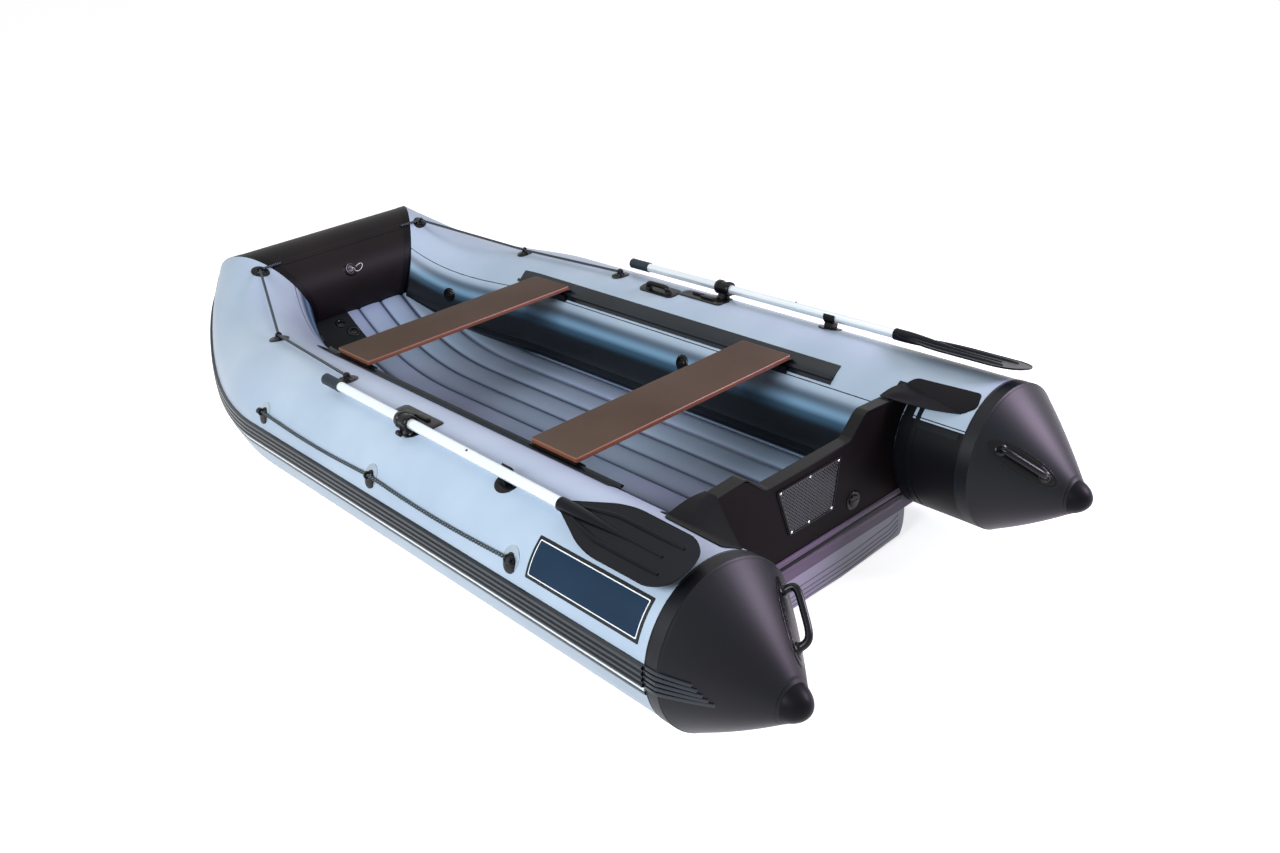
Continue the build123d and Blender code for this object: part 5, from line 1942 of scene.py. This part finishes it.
    def crossing(self, row: int, angle: float) -> float:
        """Return how high the strands stand at a row and an angle of the cord.

        Args:
            row: number of the ring along the cord.
            angle: angle round the cord.

        Returns:
            The height, from -0.5 between strands to 1.5 on them.
        """
        turn = 2 * pi * row * self.pitch / self.lay
        lean = self.strands * angle / 2
        return 2 * abs(sin(lean + turn) * sin(lean - turn)) - 0.5

    def knot(self, bm: BMesh, centre: Vector, along: Vector) -> None:
        """Tie a stopper knot: three turns of cord pulled tight.

        Args:
            bm: the mesh that it goes into.
            centre: middle of the knot.
            along: direction of the cord through it.
        """
        side = along.cross(UPWARD).normalized()
        up = along.cross(side)
        path = []
        for share in steps(0, 1, 1 / 36):
            a = 2 * pi * self.knot_turns * share
            path.append(centre + along * (self.knot_long * (share - 0.5))
                        + (side * cos(a) + up * sin(a)) * self.knot_r)
        round_bar(bm, path, self.rope_r * 0.95, 10)

    def rope(self, name: str, path: list[Vector], knots: Sequence[int]) -> None:
        """Build one rope with the knots at its ends.

        Args:
            name: name of the piece, without its side.
            path: points on its centre line.
            knots: the ends that are knotted: 0 for the first, -1 for the last.
        """
        bm = bmesh.new()
        self.braid(bm, path)
        for at in knots:
            near = path[1] if at == 0 else path[-2]
            self.knot(bm, path[at], (near - path[at]).normalized())
        self.piece(bm, f"{name}_braid", Look.ROPE, "rope", name, sharp=80)

    def build(self) -> None:
        """Build the guides and ropes."""
        for k, run in enumerate(self.side_x, 1):
            self.guide(f"side_guide_{k}", run, self.side_deg, True)
        places = ((self.upper_x, self.upper_deg), (self.run_of(self.bend_t), self.bend_deg),
                  (self.run_of(self.corner_t), self.corner_deg))
        for k, (run, deg) in enumerate(places, 1):
            self.guide(f"upper_guide_{k}", run, deg, False)
        self.rope("side_rope", self.side_path(), (0, -1))
        self.rope("bow_rope", self.upper_path(), (0,))


# ---------------- handles, valves and plates
@dataclass
class Handles(Fitting):
    """The loop handle on a cone, and on the starboard side the carry handle."""

    cone_x: tuple = (-0.292, -0.386)
    cone_deg: float = 141.0
    cone_rise: float = 0.036
    carry_x: tuple = (1.088, 1.186)
    carry_deg: float = 98.0
    carry_rise: float = 0.022
    bar_r: float = 0.0100
    square: float = 0.42

    def loop(self, bm: BMesh, feet: Sequence[Vector], out: Vector, rise: float) -> None:
        """Build a grip that stands off its two feet, and a boot round each foot.

        Args:
            bm: the mesh that it goes into.
            feet: where its two ends stand.
            out: the direction in which it stands off.
            rise: height of its bar.
        """
        aft, fwd = feet
        along = fwd - aft
        path = []
        for k in range(49):
            a = pi * k / 48
            across = copysign(abs(cos(a)) ** self.square, cos(a))
            path.append(aft + along * (0.5 - 0.5 * across) + out * rise * sin(a) ** self.square)
        round_bar(bm, path, lambda s: self.bar_r * (1 - 0.10 * sin(pi * s)), 18)
        along.normalize()
        boot = [(0, 0.010), (0.0085, 0.010), (0.011, 0.0075), (0.0135, 0.003), (0.017, 0.001),
                (0.018, -0.004), (0, -0.004)]
        for foot in feet:
            turned(bm, boot, 28, matrix_of(foot, along, out.cross(along), out))

    def on_cone(self) -> None:
        """Build the handle on a stern cone."""
        middle = sum(self.cone_x) / 2
        bm = bmesh.new()
        for pad in (disc(0.150, 0.066, 0.0024, 0.0012), disc(0.132, 0.050, 0.0042, 0.0014)):
            patch(bm, middle, self.cone_deg, pad, pitch=0.005)
        feet = [LINE.section(x).point(self.cone_deg, 0.002) for x in self.cone_x]
        a = radians(self.cone_deg)
        out = Vector((-0.6, cos(a), sin(a))).normalized()
        self.loop(bm, feet, out, self.cone_rise)
        self.piece(bm, "cone_grip", Look.PLASTIC, "handle_plastic", "cone_handle")

    def carry(self) -> None:
        """Build the low carry handle."""
        middle = sum(self.carry_x) / 2
        bm = bmesh.new()
        patch(bm, middle, self.carry_deg - 2, tile(0.176, 0.062, 0.003, corner=0.024, edge=0.0012))
        feet = [LINE.section(x).point(self.carry_deg, 0.001) for x in self.carry_x]
        a = radians(self.carry_deg)
        self.loop(bm, feet, Vector((0, cos(a), sin(a))), self.carry_rise)
        self.frame.piece(bm, "carry_grip", Look.PLASTIC, "handle_plastic", replaces=["carry_handle"],
                         side=self.side)

    def build(self) -> None:
        """Build the handles of this side."""
        self.on_cone()
        if self.side is Side.STARBOARD:
            self.carry()


@dataclass
class Valves(Fitting):
    """Air valves on the inner face of a side tube. The bow tube's is built with the port ones."""

    r: float = 0.028
    side_place: tuple = (0.859, 161.0)
    bend_place: tuple = (0.59, 169.0)
    bow_place: tuple = (0.018, 160.0)
    cord_r: float = 0.0013

    @property
    def bow_seat(self) -> Matrix:
        """The frame of the bow tube's valve."""
        return LINE.bow_plain(self.bow_place[0]).seat(self.bow_place[1])

    def valve(self, bm: BMesh, seat: Matrix) -> None:
        """Turn a valve on a seat.

        Args:
            bm: the mesh that it goes into.
            seat: the valve's frame on the tube.
        """
        r = self.r
        cap = [(0, 0.0052), (r * 0.16, 0.0052), (r * 0.2, 0.0044), (r * 0.42, 0.0044),
               (r * 0.46, 0.0036), (r * 0.56, 0.0034), (r * 0.62, 0.0066), (r * 0.72, 0.0068),
               (r * 0.78, 0.003), (r * 0.94, 0.0022), (r, 0.0008), (r, -0.004), (0, -0.004)]
        turned(bm, cap, 44, seat)
        bar = bmesh.new()
        slab(bar, oblong(r * 0.84, 0.0036), 0.0076, 0.001, 0.0008)
        join(bm, bar, seat)

    def build(self) -> None:
        """Build the valves of this side, and on the port side the bow tube's."""
        bm = bmesh.new()
        self.valve(bm, LINE.section(self.side_place[0]).seat(self.side_place[1]))
        self.valve(bm, LINE.on_bend(self.bend_place[0]).seat(self.bend_place[1]))
        self.piece(bm, "valve_caps", Look.PLASTIC, "valve_plastic", "tube_valves")
        if self.side is Side.PORT:
            self.at_bow()

    def at_bow(self) -> None:
        """Build the valve of the bow tube and its lanyard."""
        bm = bmesh.new()
        self.valve(bm, self.bow_seat)
        self.frame.piece(bm, "bow_valve_cap", Look.PLASTIC, "valve_plastic", replaces=["bow_valve"])
        self.lanyard()

    def lanyard(self) -> None:
        """Lay the loop of white cord that tethers the cap of the bow valve."""
        bm = bmesh.new()
        path = [Vector((0.002, 0, 0.007)), Vector((0.010, 0, 0.0085))]
        for a in (pi + 2 * pi * k / 40 for k in range(40)):
            path.append(Vector((0.034 + 0.018 * cos(a), -0.004 + 0.011 * sin(a) + 0.006 * cos(a),
                                0.0045 + 0.003 * sin(2 * a))))
        round_bar(bm, [self.bow_seat @ point for point in path], self.cord_r, 8)
        self.frame.piece(bm, "bow_valve_lanyard", Look.CORD, "rope")


@dataclass
class NamePlate(Fitting):
    """The blank plate on the outside of a tube: border, fine line and plain field."""

    run: float = 0.0295
    deg: float = 36.75
    long: float = 0.403
    wide: float = 0.108

    def build(self) -> None:
        """Build the plate's three layers."""
        layers = (("plate_border", 0.0, 0.0008, Look.INK), ("plate_line", 0.0085, 0.0011, Look.CHALK),
                  ("plate_field", 0.0112, 0.0014, Look.PLATE))
        for name, inset, thick, finish in layers:
            bm = bmesh.new()
            shape = tile(self.long - 2 * inset, self.wide - 2 * inset, thick, corner=0.003)
            patch(bm, self.run, self.deg, shape, pitch=0.004)
            self.piece(bm, name, finish, "wing_fabric")


# ---------------- studio
@dataclass
class Studio:
    """Plain pale floor, soft lamps and the camera."""

    frame: BoatFrame
    eye: Vector = field(default_factory=lambda: Vector((-1.8279, 2.0406, 1.6288)))
    right: Vector = field(default_factory=lambda: Vector((-0.66521, -0.74085, -0.09288)))
    down: Vector = field(default_factory=lambda: Vector((-0.27473, 0.35853, -0.89218)))
    ahead: Vector = field(default_factory=lambda: Vector((0.69427, -0.56797, -0.44203)))
    lens: float = 33.73
    sensor: float = 36.0
    fill: float = 0.28
    glow: float = 0.74
    paper: str = "f4f4f4"
    paper_dim: str = "59636d"

    def camera(self) -> None:
        """Place the camera."""
        data = bpy.data.cameras.new("camera")
        data.lens = self.lens
        data.sensor_width = self.sensor
        made = add_object("camera", data)
        made.matrix_world = matrix_of(self.eye + self.frame.offset, self.right, -self.down, -self.ahead)
        bpy.context.scene.camera = made

    def lamp(self, name: str, place: Vector, target: Vector, size: tuple, power: float, tint: str) -> None:
        """Hang a soft box that faces a target.

        Args:
            name: name of the lamp.
            place: where it hangs.
            target: the point that it faces.
            size: its width and height.
            power: its power in watts.
            tint: its colour, as hex digits.
        """
        data = bpy.data.lights.new(name, "AREA")
        data.shape = "RECTANGLE"
        data.size, data.size_y = size
        data.energy = power
        data.color = linear(tint)[:3]
        made = add_object(name, data)
        made.location = place
        made.rotation_euler = (target - place).to_track_quat("-Z", "Y").to_euler()

    def world(self) -> None:
        """Make the world white to the eye, in gloss and through glass, and softer as a light."""
        world = bpy.data.worlds.new("world")
        bpy.context.scene.world = world
        world.use_nodes = True
        tree = world.node_tree
        strength = add_node(tree, "ShaderNodeMapRange", {}, {0: self.seen(tree), 3: self.fill, 4: 1.0})
        back = tree.nodes["Background"]
        back.inputs["Color"].default_value = (1, 1, 1, 1)
        tree.links.new(strength.outputs[0], back.inputs["Strength"])

    def seen(self, tree: NodeTree) -> NodeSocket:
        """Return 1 for what is seen straight, in gloss or through glass, else 0.

        Args:
            tree: the node tree of a material or of the world.

        Returns:
            The socket.
        """
        path = add_node(tree, "ShaderNodeLightPath")
        found = path.outputs["Is Camera Ray"]
        for kind in ("Is Transmission Ray", "Is Glossy Ray"):
            found = add_node(tree, "ShaderNodeMath", {"operation": "MAXIMUM"},
                             {0: found, 1: path.outputs[kind]}).outputs[0]
        return found

    def floor(self) -> None:
        """Lay the floor: white to the eye but for the shadow of the boat."""
        bm = bmesh.new()
        bmesh.ops.create_grid(bm, x_segments=1, y_segments=1, size=60)
        mesh = bpy.data.meshes.new("studio_floor")
        bm.to_mesh(mesh)
        bm.free()
        made = add_object("studio_floor", mesh)
        paper = bpy.data.materials.new("studio_paper")
        paper.use_nodes = True
        tree = paper.node_tree
        shader = tree.nodes["Principled BSDF"]
        seen = self.seen(tree)
        shade = blend_colours(tree, seen, linear(self.paper_dim), linear(self.paper))
        tree.links.new(shade, shader.inputs["Base Color"])
        shader.inputs["Roughness"].default_value = 0.9
        shader.inputs["Specular IOR Level"].default_value = 0.0
        shader.inputs["Emission Color"].default_value = (1, 1, 1, 1)
        glow = add_node(tree, "ShaderNodeMath", {"operation": "MULTIPLY"}, {0: seen, 1: self.glow})
        tree.links.new(glow.outputs[0], shader.inputs["Emission Strength"])
        mesh.materials.append(paper)

    def build(self) -> None:
        """Set up the studio."""
        self.camera()
        self.world()
        self.floor()
        middle = Vector((0, 0, 0.3))
        self.lamp("key", Vector((-0.9, 3.9, 2.5)), middle, (3.0, 1.3), 200, "f4f9ff")
        self.lamp("top", Vector((0.6, -0.4, 4.2)), middle, (4.2, 2.2), 30, "ffffff")
        self.lamp("starboard", Vector((-3.3, -2.9, 2.1)), Vector((-1.2, 0, 0.2)), (1.5, 0.9), 240, "dcc8e6")
        bpy.context.scene.view_settings.view_transform = "Standard"


def main() -> None:
    """Build the boat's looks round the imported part."""
    logging.basicConfig(level=logging.INFO, format="%(name)s: %(message)s")
    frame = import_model()
    boat = BoatFrame.from_part()
    Studio(boat).build()
    tubes = Tubes(boat)
    tubes.build()
    Strake(tubes).build()
    Bottom(boat).build()
    Transom(boat).build(frame)
    for name in ("aft", "forward"):
        Thwart(boat, name, f"{name}_seat").build(frame)
    for side in Side:
        oar = Oar(boat, side)
        oar.build()
        OarSeats(boat, side, oar).build()
        for fitting in (SternCone, Wing, GrabLines, Handles, Valves, NamePlate):
            fitting(boat, side).build()
        dress(frame, side.prefix + "rail", Look.RAIL)


if __name__ == "__main__":
    main()
